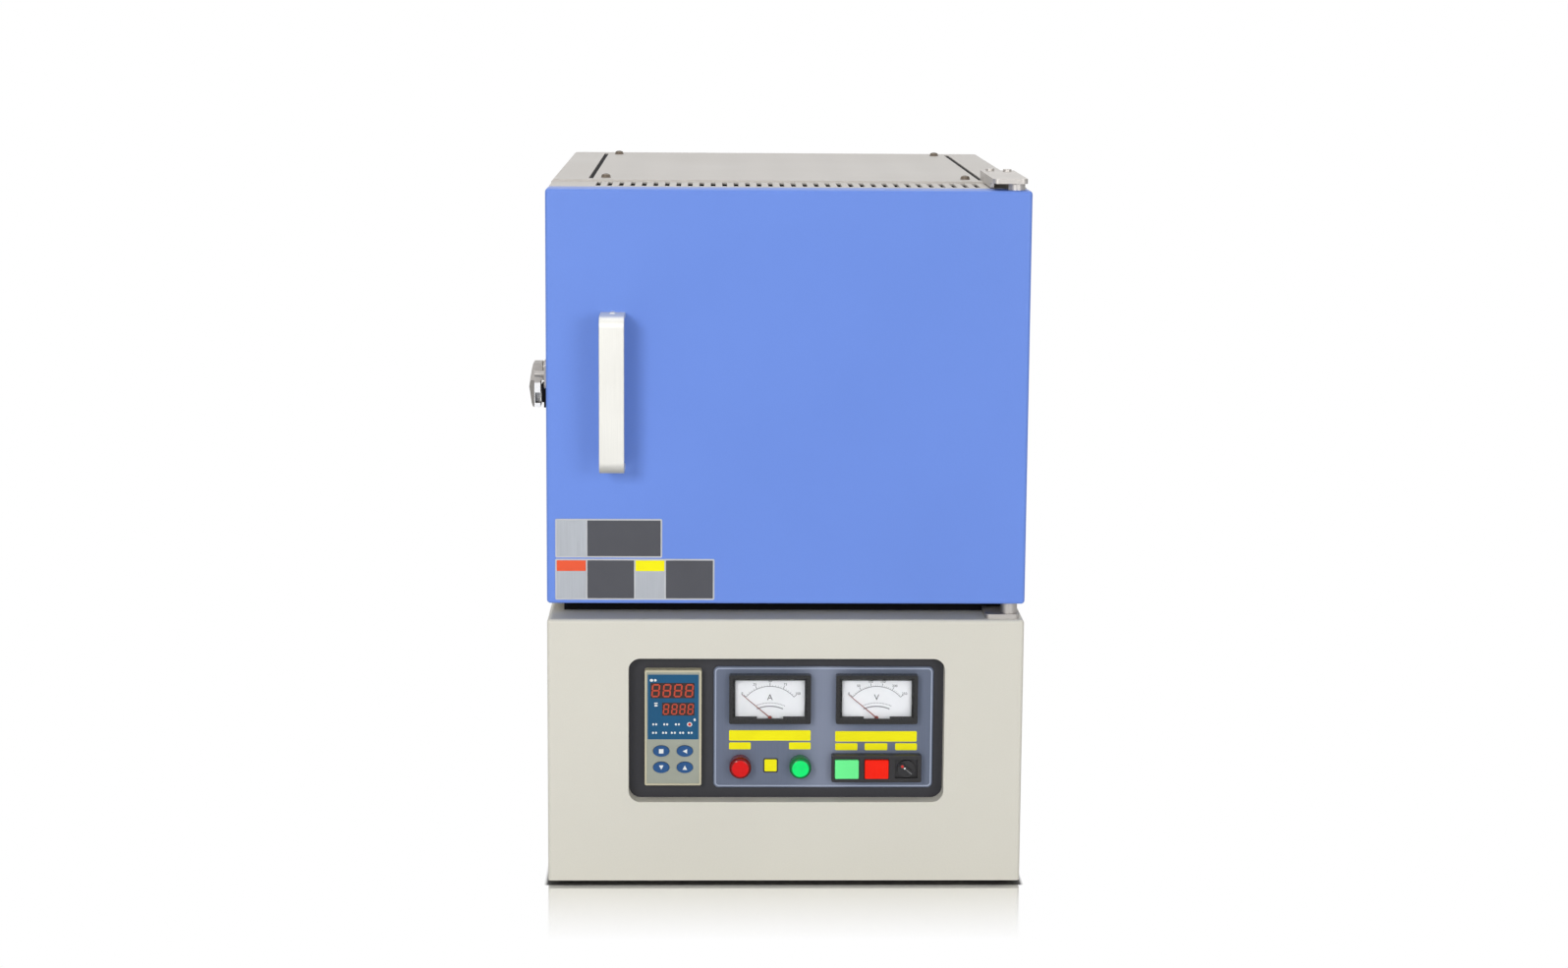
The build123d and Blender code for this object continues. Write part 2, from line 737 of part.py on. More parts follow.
# Meter windows: clear panes against the back of the bezel
with BuildPart() as meter_windows:
    for meter_x in METER_X:
        front_block(meter_x, METER_Z, dial_room_w - 2 * PANE_GAP, dial_room_h - 2 * PANE_GAP,
                    meter_front + GLASS_SET, GLASS_T)
save(meter_windows, "meter_windows")

# Meter needles: a tapered pointer on a hub, its pivot in the dial
for needle_name, meter_x in zip(("ammeter_needle", "voltmeter_needle"), METER_X):
    with BuildPart() as needle:
        needle_y = meter_front + NEEDLE_SET
        lean = radians(NEEDLE_REST)
        along = (-sin(lean), cos(lean))
        across = (cos(lean), sin(lean))
        root = [(meter_x + s * across[0] * NEEDLE_W / 2, pivot_z + s * across[1] * NEEDLE_W / 2)
                for s in (1, -1)]
        tip = [(meter_x + along[0] * NEEDLE_L + s * across[0] * NEEDLE_TIP_W / 2,
                pivot_z + along[1] * NEEDLE_L + s * across[1] * NEEDLE_TIP_W / 2) for s in (-1, 1)]
        with BuildSketch(facing(needle_y)):
            with BuildLine():
                Polyline(*root, *tip, close=True)
            make_face()
            with Locations((meter_x, pivot_z)):
                Circle(NEEDLE_HUB_R)
        extrude(amount=-NEEDLE_T)
        round_along_y(meter_x, pivot_z, NEEDLE_PIVOT_R, needle_y + NEEDLE_T,
                      DIAL_SET - NEEDLE_SET - NEEDLE_T + DIAL_T / 2)
    save(needle, needle_name)

# Signal lamps: domed lenses in front of the plate
for lamp_name, lamp_x in zip(("red_lamp", "green_lamp"), LAMP_X):
    with BuildPart() as lamp:
        round_along_y(lamp_x, LAMP_Z, LAMP_R, plate_y - LAMP_PROUD, LAMP_PROUD)
        fillet(lamp.edges().group_by(Axis.Y)[0], LAMP_CROWN)
    save(lamp, lamp_name)

# Lamp bodies: barrels behind the lenses, each with a nut behind the panel
with BuildPart() as lamp_bodies:
    for lamp_x in LAMP_X:
        round_along_y(lamp_x, LAMP_Z, LAMP_BODY_R, plate_y, LAMP_BODY_D)
        with BuildSketch(facing(panel_y + PANEL_T)):
            with Locations((lamp_x, LAMP_Z)):
                RegularPolygon(LAMP_NUT_R, 6)
        extrude(amount=-LAMP_NUT_T)
save(lamp_bodies, "lamp_bodies")

# Switch frame: a black bezel with two button pockets and a square seat for the selector
switch_front = plate_y - SWITCH_PROUD
button_x = [SWITCH_X + (i - 1) * BUTTON_PITCH for i in range(3)]
with BuildPart() as switch_frame:
    front_block(SWITCH_X, SWITCH_Z, SWITCH_W, SWITCH_H, switch_front, SWITCH_PROUD, SWITCH_R)
    fillet(switch_frame.edges().group_by(Axis.Y)[0], SWITCH_EDGE_R)
    front_block(SWITCH_X, SWITCH_Z, switch_body_w, switch_body_h, plate_y, SWITCH_BODY_D)
    for pocket_x in button_x[:2]:
        front_block(pocket_x, SWITCH_Z, BUTTON_W + 2 * BUTTON_GAP, BUTTON_H + 2 * BUTTON_GAP,
                    switch_front, BUTTON_T - BUTTON_PROUD + BUTTON_TRAVEL + BUTTON_WELL_ROOM,
                    mode=Mode.SUBTRACT)
    front_block(button_x[2], SWITCH_Z, SELECTOR_SEAT_W, SELECTOR_SEAT_H, switch_front,
                SELECTOR_SEAT_D, mode=Mode.SUBTRACT)
    round_along_y(button_x[2], SWITCH_Z, SELECTOR_STEM_R + FIT, switch_front,
                  SELECTOR_SEAT_D + SELECTOR_STEM_L + SELECTOR_STEM_ROOM, mode=Mode.SUBTRACT)
save(switch_frame, "switch_frame")

# Start and stop buttons: rounded caps that travel into their pockets
for button_name, cap_x in zip(("start_button", "stop_button"), button_x):
    with BuildPart() as button:
        front_block(cap_x, SWITCH_Z, BUTTON_W, BUTTON_H, switch_front - BUTTON_PROUD, BUTTON_T, BUTTON_R)
        fillet(button.edges().group_by(Axis.Y)[0], BUTTON_EDGE_R)
    save(button, button_name)

# Selector: a round knob with a raised grip, on a stem in the frame
with BuildPart() as selector_knob:
    knob_back = switch_front + SELECTOR_SEAT_D - SKIN_GAP
    round_along_y(button_x[2], SWITCH_Z, SELECTOR_R, knob_back - SELECTOR_T, SELECTOR_T)
    with BuildSketch(facing(knob_back - SELECTOR_T - SELECTOR_GRIP_H)):
        with Locations(Location((button_x[2], SWITCH_Z), SELECTOR_REST)):
            SlotOverall(SELECTOR_GRIP_L, SELECTOR_GRIP_W)
    extrude(amount=-SELECTOR_GRIP_H)
    round_along_y(button_x[2], SWITCH_Z, SELECTOR_STEM_R, knob_back, SELECTOR_STEM_L)
save(selector_knob, "selector_knob")

# Transformer core: stacked laminations with two windows and a wide middle limb
core_z = floor_z
window_w = (CORE_W - CORE_LIMB - 2 * CORE_YOKE) / 2
window_h = CORE_H - 2 * CORE_YOKE
with BuildPart() as transformer_core:
    front_block(core_x, core_z + CORE_H / 2, CORE_W, CORE_H, CORE_Y - CORE_T / 2, CORE_T)
    for side in (-1, 1):
        front_block(core_x + side * (CORE_LIMB + window_w) / 2, core_z + CORE_H / 2, window_w, window_h,
                    CORE_Y - CORE_T / 2, CORE_T, mode=Mode.SUBTRACT)
save(transformer_core, "transformer_core")

# Transformer coils: one winding round the middle limb
with BuildPart() as transformer_coils:
    with BuildSketch(level(core_z + CORE_YOKE + COIL_GAP)):
        with Locations((core_x, CORE_Y)):
            RectangleRounded(CORE_LIMB + 2 * (window_w - COIL_GAP), CORE_T + 2 * COIL_OUT, COIL_R)
            Rectangle(CORE_LIMB + 2 * COIL_FIT, CORE_T + 2 * COIL_FIT, mode=Mode.SUBTRACT)
    extrude(amount=window_h - 2 * COIL_GAP)
save(transformer_coils, "transformer_coils")

# Heat sink: an extruded comb that stands on the base floor
with BuildPart() as heat_sink:
    with BuildSketch(facing(SINK_Y - SINK_L / 2)):
        with Locations((sink_x, floor_z + SINK_H - SINK_BASE_T / 2)):
            Rectangle(SINK_W, SINK_BASE_T)
        with Locations((sink_x, floor_z + SINK_H / 2)):
            with GridLocations((SINK_W - FIN_T) / (FIN_N - 1), 0, FIN_N, 1):
                Rectangle(FIN_T, SINK_H)
    extrude(amount=-SINK_L)
save(heat_sink, "heat_sink")

# Power module on the heat sink, with three terminal studs
with BuildPart() as power_module:
    module_z = floor_z + SINK_H
    level_block(sink_x - MODULE_W / 2, sink_x + MODULE_W / 2, SINK_Y - MODULE_L / 2,
                SINK_Y + MODULE_L / 2, module_z, module_z + MODULE_STEP_H)
    level_block(sink_x - MODULE_TOP_W / 2, sink_x + MODULE_TOP_W / 2, SINK_Y - MODULE_TOP_L / 2,
                SINK_Y + MODULE_TOP_L / 2, module_z + MODULE_STEP_H, module_z + MODULE_H)
    with BuildSketch(level(module_z + MODULE_H)):
        with Locations((sink_x, SINK_Y)):
            with GridLocations(0, STUD_PITCH, 1, STUD_N):
                RegularPolygon(STUD_R, 6)
    extrude(amount=STUD_H)
save(power_module, "power_module")

# Terminal block with raised walls between its ways
with BuildPart() as terminal_block:
    with BuildSketch(sideways(TERM_X - TERM_W / 2)):
        with BuildLine():
            Polyline(
                (term_y - TERM_D / 2, floor_z), (term_y + TERM_D / 2, floor_z),
                (term_y + TERM_D / 2, floor_z + TERM_H), (term_y - TERM_D / 2, floor_z + TERM_H),
                close=True,
            )
        make_face()
    extrude(amount=TERM_W)
    way_w = (TERM_W - TERM_WALL * (TERM_N + 1)) / TERM_N
    for i in range(TERM_N):
        way_x = TERM_X - TERM_W / 2 + TERM_WALL + i * (way_w + TERM_WALL)
        level_block(way_x, way_x + way_w, term_y - TERM_D / 2, term_y + TERM_D / 2,
                    floor_z + TERM_H - TERM_CUT, floor_z + TERM_H, mode=Mode.SUBTRACT)
save(terminal_block, "terminal_block")

# Fan housing: a square frame with a round duct and a three-arm spider at its inner end
fan_front = base_back - FAN_D
with BuildPart() as fan_housing:
    front_block(fan_x, FAN_Z, FAN_W, FAN_W, fan_front, FAN_D, FAN_CORNER_R)
    round_along_y(fan_x, FAN_Z, FAN_BORE_R, fan_front, FAN_D, mode=Mode.SUBTRACT)
    with BuildSketch(facing(fan_front)):
        with Locations((fan_x, FAN_Z)):
            Circle(SPIDER_HUB_R)
            with PolarLocations(FAN_BORE_R / 2 + SPIDER_ARM_LAP, 3):
                Rectangle(FAN_BORE_R, SPIDER_ARM_W)
    extrude(amount=-SPIDER_T)
    round_along_y(fan_x, FAN_Z, FAN_SHAFT_R + FIT, fan_front, SPIDER_T, mode=Mode.SUBTRACT)
save(fan_housing, "fan_housing")

# Fan rotor: a hub with bowed blades on a shaft in the spider
rotor_front = fan_front + SPIDER_T + FAN_HUB_GAP
blade_mid = rotor_front + FAN_HUB_D / 2
blade_root = FAN_HUB_R - BLADE_ROOT_IN
blade_cos = cos(radians(BLADE_ANGLE))
blade_sin = sin(radians(BLADE_ANGLE))
with BuildPart() as fan_rotor:
    round_along_y(fan_x, FAN_Z, FAN_HUB_R, rotor_front, FAN_HUB_D)
    round_along_y(fan_x, FAN_Z, FAN_SHAFT_R, fan_front, SPIDER_T + FAN_HUB_GAP)
    for i in range(FAN_BLADES):
        turn = 2 * pi * i / FAN_BLADES
        blade_plane = Plane(
            origin=(fan_x + blade_root * cos(turn), blade_mid, FAN_Z + blade_root * sin(turn)),
            x_dir=(0, 1, 0),
            z_dir=(cos(turn), 0, sin(turn)),
        )
        with BuildSketch(blade_plane):
            with BuildLine(mode=Mode.PRIVATE) as blade_line:
                ThreePointArc(
                    (-BLADE_CHORD / 2 * blade_cos, -BLADE_CHORD / 2 * blade_sin),
                    (BLADE_BOW * blade_sin, -BLADE_BOW * blade_cos),
                    (BLADE_CHORD / 2 * blade_cos, BLADE_CHORD / 2 * blade_sin),
                )
            SlotArc(blade_line.edge(), BLADE_T)
        extrude(amount=FAN_BORE_R - FAN_TIP_GAP - blade_root)
save(fan_rotor, "fan_rotor")

# Fan guard: stamped rings and arms, held off the cover by its own corner pads
ring_step = FAN_BORE_R / GUARD_RINGS
pad_reach = FAN_BORE_R + GUARD_PAD_OUT
with BuildPart() as fan_guard:
    with BuildSketch(facing(rear_y + GUARD_OFF)):
        with Locations((fan_x, FAN_Z)):
            for i in range(1, GUARD_RINGS + 1):
                Circle(i * ring_step + GUARD_BAR / 2)
                Circle(i * ring_step - GUARD_BAR / 2, mode=Mode.SUBTRACT)
            with PolarLocations((ring_step + pad_reach) / 2, 4, start_angle=45):
                Rectangle(pad_reach - ring_step, GUARD_ARM_W)
    extrude(amount=-GUARD_T)
    with BuildSketch(facing(rear_y)):
        with Locations((fan_x, FAN_Z)):
            with PolarLocations(pad_reach, 4, start_angle=45):
                Circle(GUARD_PAD_R)
    extrude(amount=-(GUARD_OFF + GUARD_T))
save(fan_guard, "fan_guard")

# Cable gland: hexagon and dome outside the cover, nut inside
with BuildPart() as power_gland:
    with BuildSketch(facing(rear_y)):
        with Locations((gland_x, GLAND_Z)):
            RegularPolygon(GLAND_HEX / 2, 6, major_radius=False)
    extrude(amount=-GLAND_HEX_T)
    round_along_y(gland_x, GLAND_Z, GLAND_R + GLAND_DOME_OUT, rear_y + GLAND_HEX_T, GLAND_L - GLAND_HEX_T)
    fillet(power_gland.edges().group_by(Axis.Y)[-1], GLAND_DOME_R)
    round_along_y(gland_x, GLAND_Z, GLAND_R - FIT, base_back - GLAND_TAIL_L, GLAND_TAIL_L + SHEET)
    with BuildSketch(facing(base_back - GLAND_NUT_T)):
        with Locations((gland_x, GLAND_Z)):
            RegularPolygon(GLAND_HEX / 2, 6, major_radius=False)
    extrude(amount=-GLAND_NUT_T)
    round_along_y(gland_x, GLAND_Z, GLAND_BORE_R, base_back - GLAND_TAIL_L,
                  GLAND_TAIL_L + SHEET + GLAND_L, mode=Mode.SUBTRACT)
save(power_gland, "power_gland")

# Cabinet rails: two spacers that lift the hot cabinet off the base
with BuildPart() as cabinet_rails:
    for side in (-1, 1):
        level_block(side * rail_x - RAIL_W / 2, side * rail_x + RAIL_W / 2, cabinet_y + RAIL_FRONT_IN,
                    rear_y - RAIL_REAR_IN, base_top, cabinet_z)
save(cabinet_rails, "cabinet_rails")

# Front frame: a folded tray round the chamber mouth, with the row of vent slots in its top
frame_w = BODY_W - 2 * SHEET
frame_depth = FRAME_D + FRAME_LAP
with BuildPart() as front_frame:
    level_block(-frame_w / 2, frame_w / 2, cabinet_y, cabinet_y + frame_depth, cabinet_z, door_top)
    fillet(front_frame.edges().group_by(Axis.Y)[0], SHEET)
    level_block(-frame_w / 2 + SHEET, frame_w / 2 - SHEET, cabinet_y + SHEET, cabinet_y + frame_depth,
                cabinet_z + SHEET, door_top - SHEET, mode=Mode.SUBTRACT)
    front_block(0, mouth_z, mouth_w + 2 * MOUTH_EDGE, mouth_h + 2 * MOUTH_EDGE, cabinet_y, SHEET,
                MOUTH_R, mode=Mode.SUBTRACT)
    with BuildSketch(level(door_top - SHEET)):
        with Locations((0, cabinet_y + SLOT_SET + SLOT_L / 2)):
            with GridLocations(SLOT_PITCH, 0, SLOT_N, 1):
                Rectangle(SLOT_W, SLOT_L)
    extrude(amount=SHEET, mode=Mode.SUBTRACT)
save(front_frame, "front_frame")

# Cabinet shell: one folded sheet over both sides and the deck, with a seat for the top cover
shell_back = rear_y - SHEET
opening_w = cover_w + 2 * COVER_GAP
with BuildPart() as cabinet_shell:
    level_block(-half_w, half_w, frame_back, shell_back, cabinet_z, deck_top)
    along_deck = cabinet_shell.edges().filter_by(Axis.Y).group_by(Axis.Z)[-1]
    fillet(along_deck, EDGE_R)
    level_block(-half_w + SHEET, half_w - SHEET, frame_back, shell_back - SHEET, cabinet_z + SHEET,
                deck_top - SHEET, mode=Mode.SUBTRACT)
    level_block(-half_w + SHEET, half_w - SHEET, frame_back, frame_back + FRAME_LAP + SKIN_GAP,
                cabinet_z, cabinet_z + SHEET, mode=Mode.SUBTRACT)
    level_block(-half_w + SHEET + CABINET_FLANGE, half_w - SHEET - CABINET_FLANGE, frame_back,
                shell_back - SHEET - CABINET_FLANGE, cabinet_z, cabinet_z + SHEET, mode=Mode.SUBTRACT)
    front_block(0, (cabinet_z + deck_top) / 2, BODY_W - 2 * (SHEET + CABINET_FLANGE),
                deck_top - cabinet_z - 2 * (SHEET + CABINET_FLANGE), shell_back - SHEET, SHEET,
                mode=Mode.SUBTRACT)
    level_block(-opening_w / 2, opening_w / 2, cover_y, cover_back, deck_top - SHEET, deck_top,
                mode=Mode.SUBTRACT)
    for edge_y, inward in ((cover_y, 1), (cover_back, -1)):
        web_y = sorted((edge_y, edge_y - inward * SHEET))
        ledge_y = sorted((edge_y - inward * SHEET, edge_y + inward * LEDGE_D))
        level_block(-cover_w / 2, cover_w / 2, web_y[0], web_y[1], deck_top - 2 * SHEET, deck_top - SHEET)
        level_block(-cover_w / 2, cover_w / 2, ledge_y[0], ledge_y[1], deck_top - 2 * SHEET - SKIN_GAP,
                    deck_top - SHEET - SKIN_GAP)
    for side in (-1, 1):
        lip_x = sorted((side * opening_w / 2, side * (opening_w / 2 + SHEET)))
        level_block(lip_x[0], lip_x[1], cover_y, cover_back, deck_top - COVER_TURN, deck_top - SHEET)
    with BuildSketch(level(deck_top - 3 * SHEET)):
        with Locations((0, (cover_y + cover_back) / 2)):
            with GridLocations(cover_w - 2 * SCREW_EDGE_X, cover_d - 2 * SCREW_EDGE_Y, 2, 2):
                Circle(SCREW_SHANK_R + FIT)
    extrude(amount=3 * SHEET, mode=Mode.SUBTRACT)
save(cabinet_shell, "cabinet_shell")

# Top cover: a service plate with turned-down sides, over the element terminals
with BuildPart() as top_cover:
    level_block(-cover_w / 2, cover_w / 2, cover_y + SKIN_GAP, cover_back - SKIN_GAP, deck_top - SHEET,
                deck_top)
    for side in (-1, 1):
        turn_x = sorted((side * cover_w / 2, side * (cover_w / 2 - SHEET)))
        level_block(turn_x[0], turn_x[1], cover_y + LEDGE_D + COVER_TURN_END,
                    cover_back - LEDGE_D - COVER_TURN_END, deck_top - COVER_TURN, deck_top - SHEET)
    with BuildSketch(level(deck_top - SHEET)):
        with Locations((0, (cover_y + cover_back) / 2)):
            with GridLocations(cover_w - 2 * SCREW_EDGE_X, cover_d - 2 * SCREW_EDGE_Y, 2, 2):
                Circle(SCREW_SHANK_R + FIT)
    extrude(amount=SHEET, mode=Mode.SUBTRACT)
save(top_cover, "top_cover")

# Cabinet floor: rests on the flanges of the shell
with BuildPart() as cabinet_floor:
    level_block(-frame_w / 2 + SHEET + SKIN_GAP, frame_w / 2 - SHEET - SKIN_GAP,
                cabinet_y + SHEET + SKIN_GAP, shell_back - SHEET - SKIN_GAP, cabinet_floor_z,
                cabinet_floor_z + SHEET)
save(cabinet_floor, "cabinet_floor")

# Cabinet rear cover with rows of vent slots
rear_mid_z = (cabinet_z + deck_top) / 2
rear_h = deck_top - cabinet_z
with BuildPart() as cabinet_rear:
    front_block(0, rear_mid_z, BODY_W - 2 * SKIN_GAP, rear_h - 2 * SKIN_GAP, shell_back, SHEET, EDGE_R)
    for row in REAR_SLOT_ROWS:
        for row_z in (deck_top - row, cabinet_z + row):
            with BuildSketch(facing(shell_back)):
                with Locations((0, row_z)):
                    with GridLocations(REAR_SLOT_PITCH, 0, REAR_SLOT_N, 1):
                        SlotOverall(REAR_SLOT_W, REAR_SLOT_H)
            extrude(amount=-SHEET, mode=Mode.SUBTRACT)
    with BuildSketch(facing(shell_back)):
        with Locations((0, rear_mid_z)):
            with GridLocations(BODY_W - 2 * COVER_INSET, rear_h - 2 * COVER_INSET, 2, 2):
                Circle(SCREW_SHANK_R + FIT)
    extrude(amount=-SHEET, mode=Mode.SUBTRACT)
save(cabinet_rear, "cabinet_rear")

# Panel screws: pan heads on the top cover and on both rear covers
deck_screws = [
    (sx * (cover_w / 2 - SCREW_EDGE_X), (cover_y + cover_back) / 2 + sy * (cover_d / 2 - SCREW_EDGE_Y))
    for sx in (-1, 1)
    for sy in (-1, 1)
]
rear_screws = [
    (sx * (half_w - COVER_INSET), mid + sz * (tall / 2 - COVER_INSET))
    for mid, tall in ((cover_mid_z, BASE_H), (rear_mid_z, rear_h))
    for sx in (-1, 1)
    for sz in (-1, 1)
]
with BuildPart() as panel_screws:
    for screw_x, screw_y in deck_screws:
        with BuildSketch(level(deck_top)):
            with Locations((screw_x, screw_y)):
                Circle(SCREW_R)
        extrude(amount=SCREW_H, taper=SCREW_TAPER)
        with BuildSketch(level(deck_top)):
            with Locations((screw_x, screw_y)):
                Circle(SCREW_SHANK_R)
        extrude(amount=-3 * SHEET)
    for screw_x, screw_z in rear_screws:
        with BuildSketch(facing(rear_y)):
            with Locations((screw_x, screw_z)):
                Circle(SCREW_R)
        extrude(amount=-SCREW_H, taper=SCREW_TAPER)
        round_along_y(screw_x, screw_z, SCREW_SHANK_R, rear_y - SHEET, SHEET)
save(panel_screws, "panel_screws")

# Inner case: the steel box round the insulation, on two feet, open in front and above the bricks
case_open_w = 2 * (element_x + BRICK_W / 2 + BRICK_FLANGE + CASE_OPEN_SIDE)
with BuildPart() as inner_case:
    level_block(-wool_w / 2 - CASE_T, wool_w / 2 + CASE_T, wool_y, wool_back + CASE_T, wool_z - CASE_T,
                wool_top + CASE_T)
    level_block(-wool_w / 2, wool_w / 2, wool_y, wool_back, wool_z, wool_top, mode=Mode.SUBTRACT)
    level_block(-case_open_w / 2, case_open_w / 2, chamber_y - CASE_OPEN_END,
                chamber_back + CASE_OPEN_END, wool_top, wool_top + CASE_T, mode=Mode.SUBTRACT)
    for foot_y in (wool_y + CASE_FOOT_FRONT, wool_back - CASE_FOOT_REAR - CASE_FOOT_D):
        level_block(-wool_w / 2, wool_w / 2, foot_y, foot_y + CASE_FOOT_D, cabinet_floor_z + SHEET,
                    wool_z - CASE_T)
    round_along_y(0, chamber_top - PROBE_DROP, PROBE_R + PROBE_HOLE, wool_back, CASE_T,
                  mode=Mode.SUBTRACT)
save(inner_case, "inner_case")

# Insulation: the fibre block with its stepped mouth, throat and chamber
with BuildPart() as insulation:
    level_block(-wool_w / 2, wool_w / 2, wool_y, wool_back, wool_z, wool_top)
    front_block(0, mouth_z, mouth_w, mouth_h, wool_y, PLUG_DEPTH + PLUG_END_GAP - SHEET,
                mode=Mode.SUBTRACT)
    front_block(0, mouth_z, throat_w, THROAT_H, wool_y, WOOL_FRONT, mode=Mode.SUBTRACT)
    level_block(-chamber_w / 2, chamber_w / 2, chamber_y, chamber_back, chamber_z, chamber_top,
                mode=Mode.SUBTRACT)
    for side in (-1, 1):
        level_block(side * element_x - BRICK_W / 2, side * element_x + BRICK_W / 2,
                    chamber_mid_y - brick_l / 2, chamber_mid_y + brick_l / 2, chamber_top, wool_top,
                    mode=Mode.SUBTRACT)
    round_along_y(0, chamber_top - PROBE_DROP, PROBE_R + PROBE_HOLE, chamber_back,
                  wool_back - chamber_back, mode=Mode.SUBTRACT)
save(insulation, "insulation")

# Hearth plate on the chamber floor
with BuildPart() as hearth_plate:
    with BuildSketch(level(chamber_z)):
        with Locations((0, chamber_mid_y)):
            RectangleRounded(hearth_w, HEARTH_D, HEARTH_R)
    extrude(amount=HEARTH_T)
save(hearth_plate, "hearth_plate")

# Element rods: places of the U-shaped elements along both chamber sides
element_places = [
    (side * element_x, chamber_mid_y + (i - (ELEMENT_N - 1) / 2) * ELEMENT_PITCH)
    for side in (-1, 1)
    for i in range(ELEMENT_N)
]
leg_places = [
    (x, y + s * ELEMENT_SPAN / 2)
    for x, y in element_places
    for s in (-1, 1)
]
cold_z = chamber_top - COLD_DROP
brick_top = wool_top + BRICK_FLANGE_T
terminal_z = brick_top + TERMINAL_H

# Element bricks: flanged blocks in the roof with a hole for each rod
with BuildPart() as element_bricks:
    for side in (-1, 1):
        x = side * element_x
        level_block(x - BRICK_W / 2 + SKIN_GAP, x + BRICK_W / 2 - SKIN_GAP,
                    chamber_mid_y - brick_l / 2 + SKIN_GAP, chamber_mid_y + brick_l / 2 - SKIN_GAP,
                    chamber_top, wool_top)
        level_block(x - BRICK_W / 2 - BRICK_FLANGE, x + BRICK_W / 2 + BRICK_FLANGE,
                    chamber_mid_y - brick_l / 2 - BRICK_FLANGE,
                    chamber_mid_y + brick_l / 2 + BRICK_FLANGE, wool_top, brick_top)
    with BuildSketch(level(chamber_top)):
        with Locations(*leg_places):
            Circle(COLD_R + SKIN_GAP)
    extrude(amount=brick_top - chamber_top, mode=Mode.SUBTRACT)
save(element_bricks, "element_bricks")

# Heating elements: a thin hot bend on two thicker cold legs
with BuildPart() as heating_elements:
    for x, y in element_places:
        bend_r = ELEMENT_SPAN / 2
        bend_z = chamber_z + HEARTH_T + HOT_DROP + bend_r
        with BuildLine(mode=Mode.PRIVATE) as rod:
            Line((x, y - bend_r, cold_z), (x, y - bend_r, bend_z))
            ThreePointArc((x, y - bend_r, bend_z), (x, y, bend_z - bend_r), (x, y + bend_r, bend_z))
            Line((x, y + bend_r, bend_z), (x, y + bend_r, cold_z))
        with BuildSketch(Plane(origin=(x, y - bend_r, cold_z), z_dir=(0, 0, -1))):
            Circle(HOT_R)
        sweep(path=rod.wire())
    with BuildSketch(level(cold_z)):
        with Locations(*leg_places):
            Circle(COLD_R)
    extrude(amount=terminal_z - cold_z)
save(heating_elements, "heating_elements")

# Element clips: clamps on the cold legs that carry the rods on the bricks
with BuildPart() as element_clips:
    with BuildSketch(level(brick_top)):
        with Locations(*leg_places):
            Rectangle(CLIP_W, CLIP_W)
            Circle(COLD_R, mode=Mode.SUBTRACT)
    extrude(amount=CLIP_H)
save(element_clips, "element_clips")

# Element straps: soft metal links between neighbouring rods
strap_z = terminal_z - STRAP_LIFT - STRAP_H
with BuildPart() as element_straps:
    for side in (-1, 1):
        for i in range(ELEMENT_N - 1):
            y_lo = chamber_mid_y + (i - (ELEMENT_N - 1) / 2) * ELEMENT_PITCH + ELEMENT_SPAN / 2
            y_hi = y_lo + ELEMENT_PITCH - ELEMENT_SPAN
            x = side * element_x
            with BuildSketch(level(strap_z)):
                with Locations((x, y_lo), (x, y_hi)):
                    Rectangle(STRAP_END_W, STRAP_END_W)
                    Circle(COLD_R, mode=Mode.SUBTRACT)
            extrude(amount=STRAP_H)
            top_z = strap_z + STRAP_H - STRAP_T
            link_lo = y_lo + STRAP_END_W / 2
            link_hi = y_hi - STRAP_END_W / 2
            bow_y = (y_lo + y_hi) / 2
            with BuildSketch(sideways(x - STRAP_W / 2)):
                with BuildLine():
                    ThreePointArc((link_lo, top_z), (bow_y, top_z + STRAP_BOW), (link_hi, top_z))
                    Line((link_hi, top_z), (link_hi, top_z + STRAP_T))
                    ThreePointArc(
                        (link_hi, top_z + STRAP_T), (bow_y, top_z + STRAP_BOW + STRAP_T),
                        (link_lo, top_z + STRAP_T),
                    )
                    Line((link_lo, top_z + STRAP_T), (link_lo, top_z))
                make_face()
            extrude(amount=STRAP_W)
save(element_straps, "element_straps")

# Thermocouple: ceramic sheath through the rear wall, flange and head behind the case
probe_z = chamber_top - PROBE_DROP
probe_seat = wool_back + CASE_T
with BuildPart() as thermocouple:
    round_along_y(0, probe_z, PROBE_R, chamber_back - PROBE_REACH, probe_seat - chamber_back + PROBE_REACH)
    round_along_y(0, probe_z, PROBE_FLANGE_R, probe_seat, PROBE_FLANGE_T)
    round_along_y(0, probe_z, PROBE_NECK_R, probe_seat + PROBE_FLANGE_T, PROBE_NECK_L)
    round_along_y(0, probe_z, PROBE_HEAD_R, probe_seat + PROBE_FLANGE_T + PROBE_NECK_L, PROBE_HEAD_L)
    fillet(thermocouple.edges().group_by(Axis.Y)[-1], PROBE_HEAD_EDGE_R)
save(thermocouple, "thermocouple")

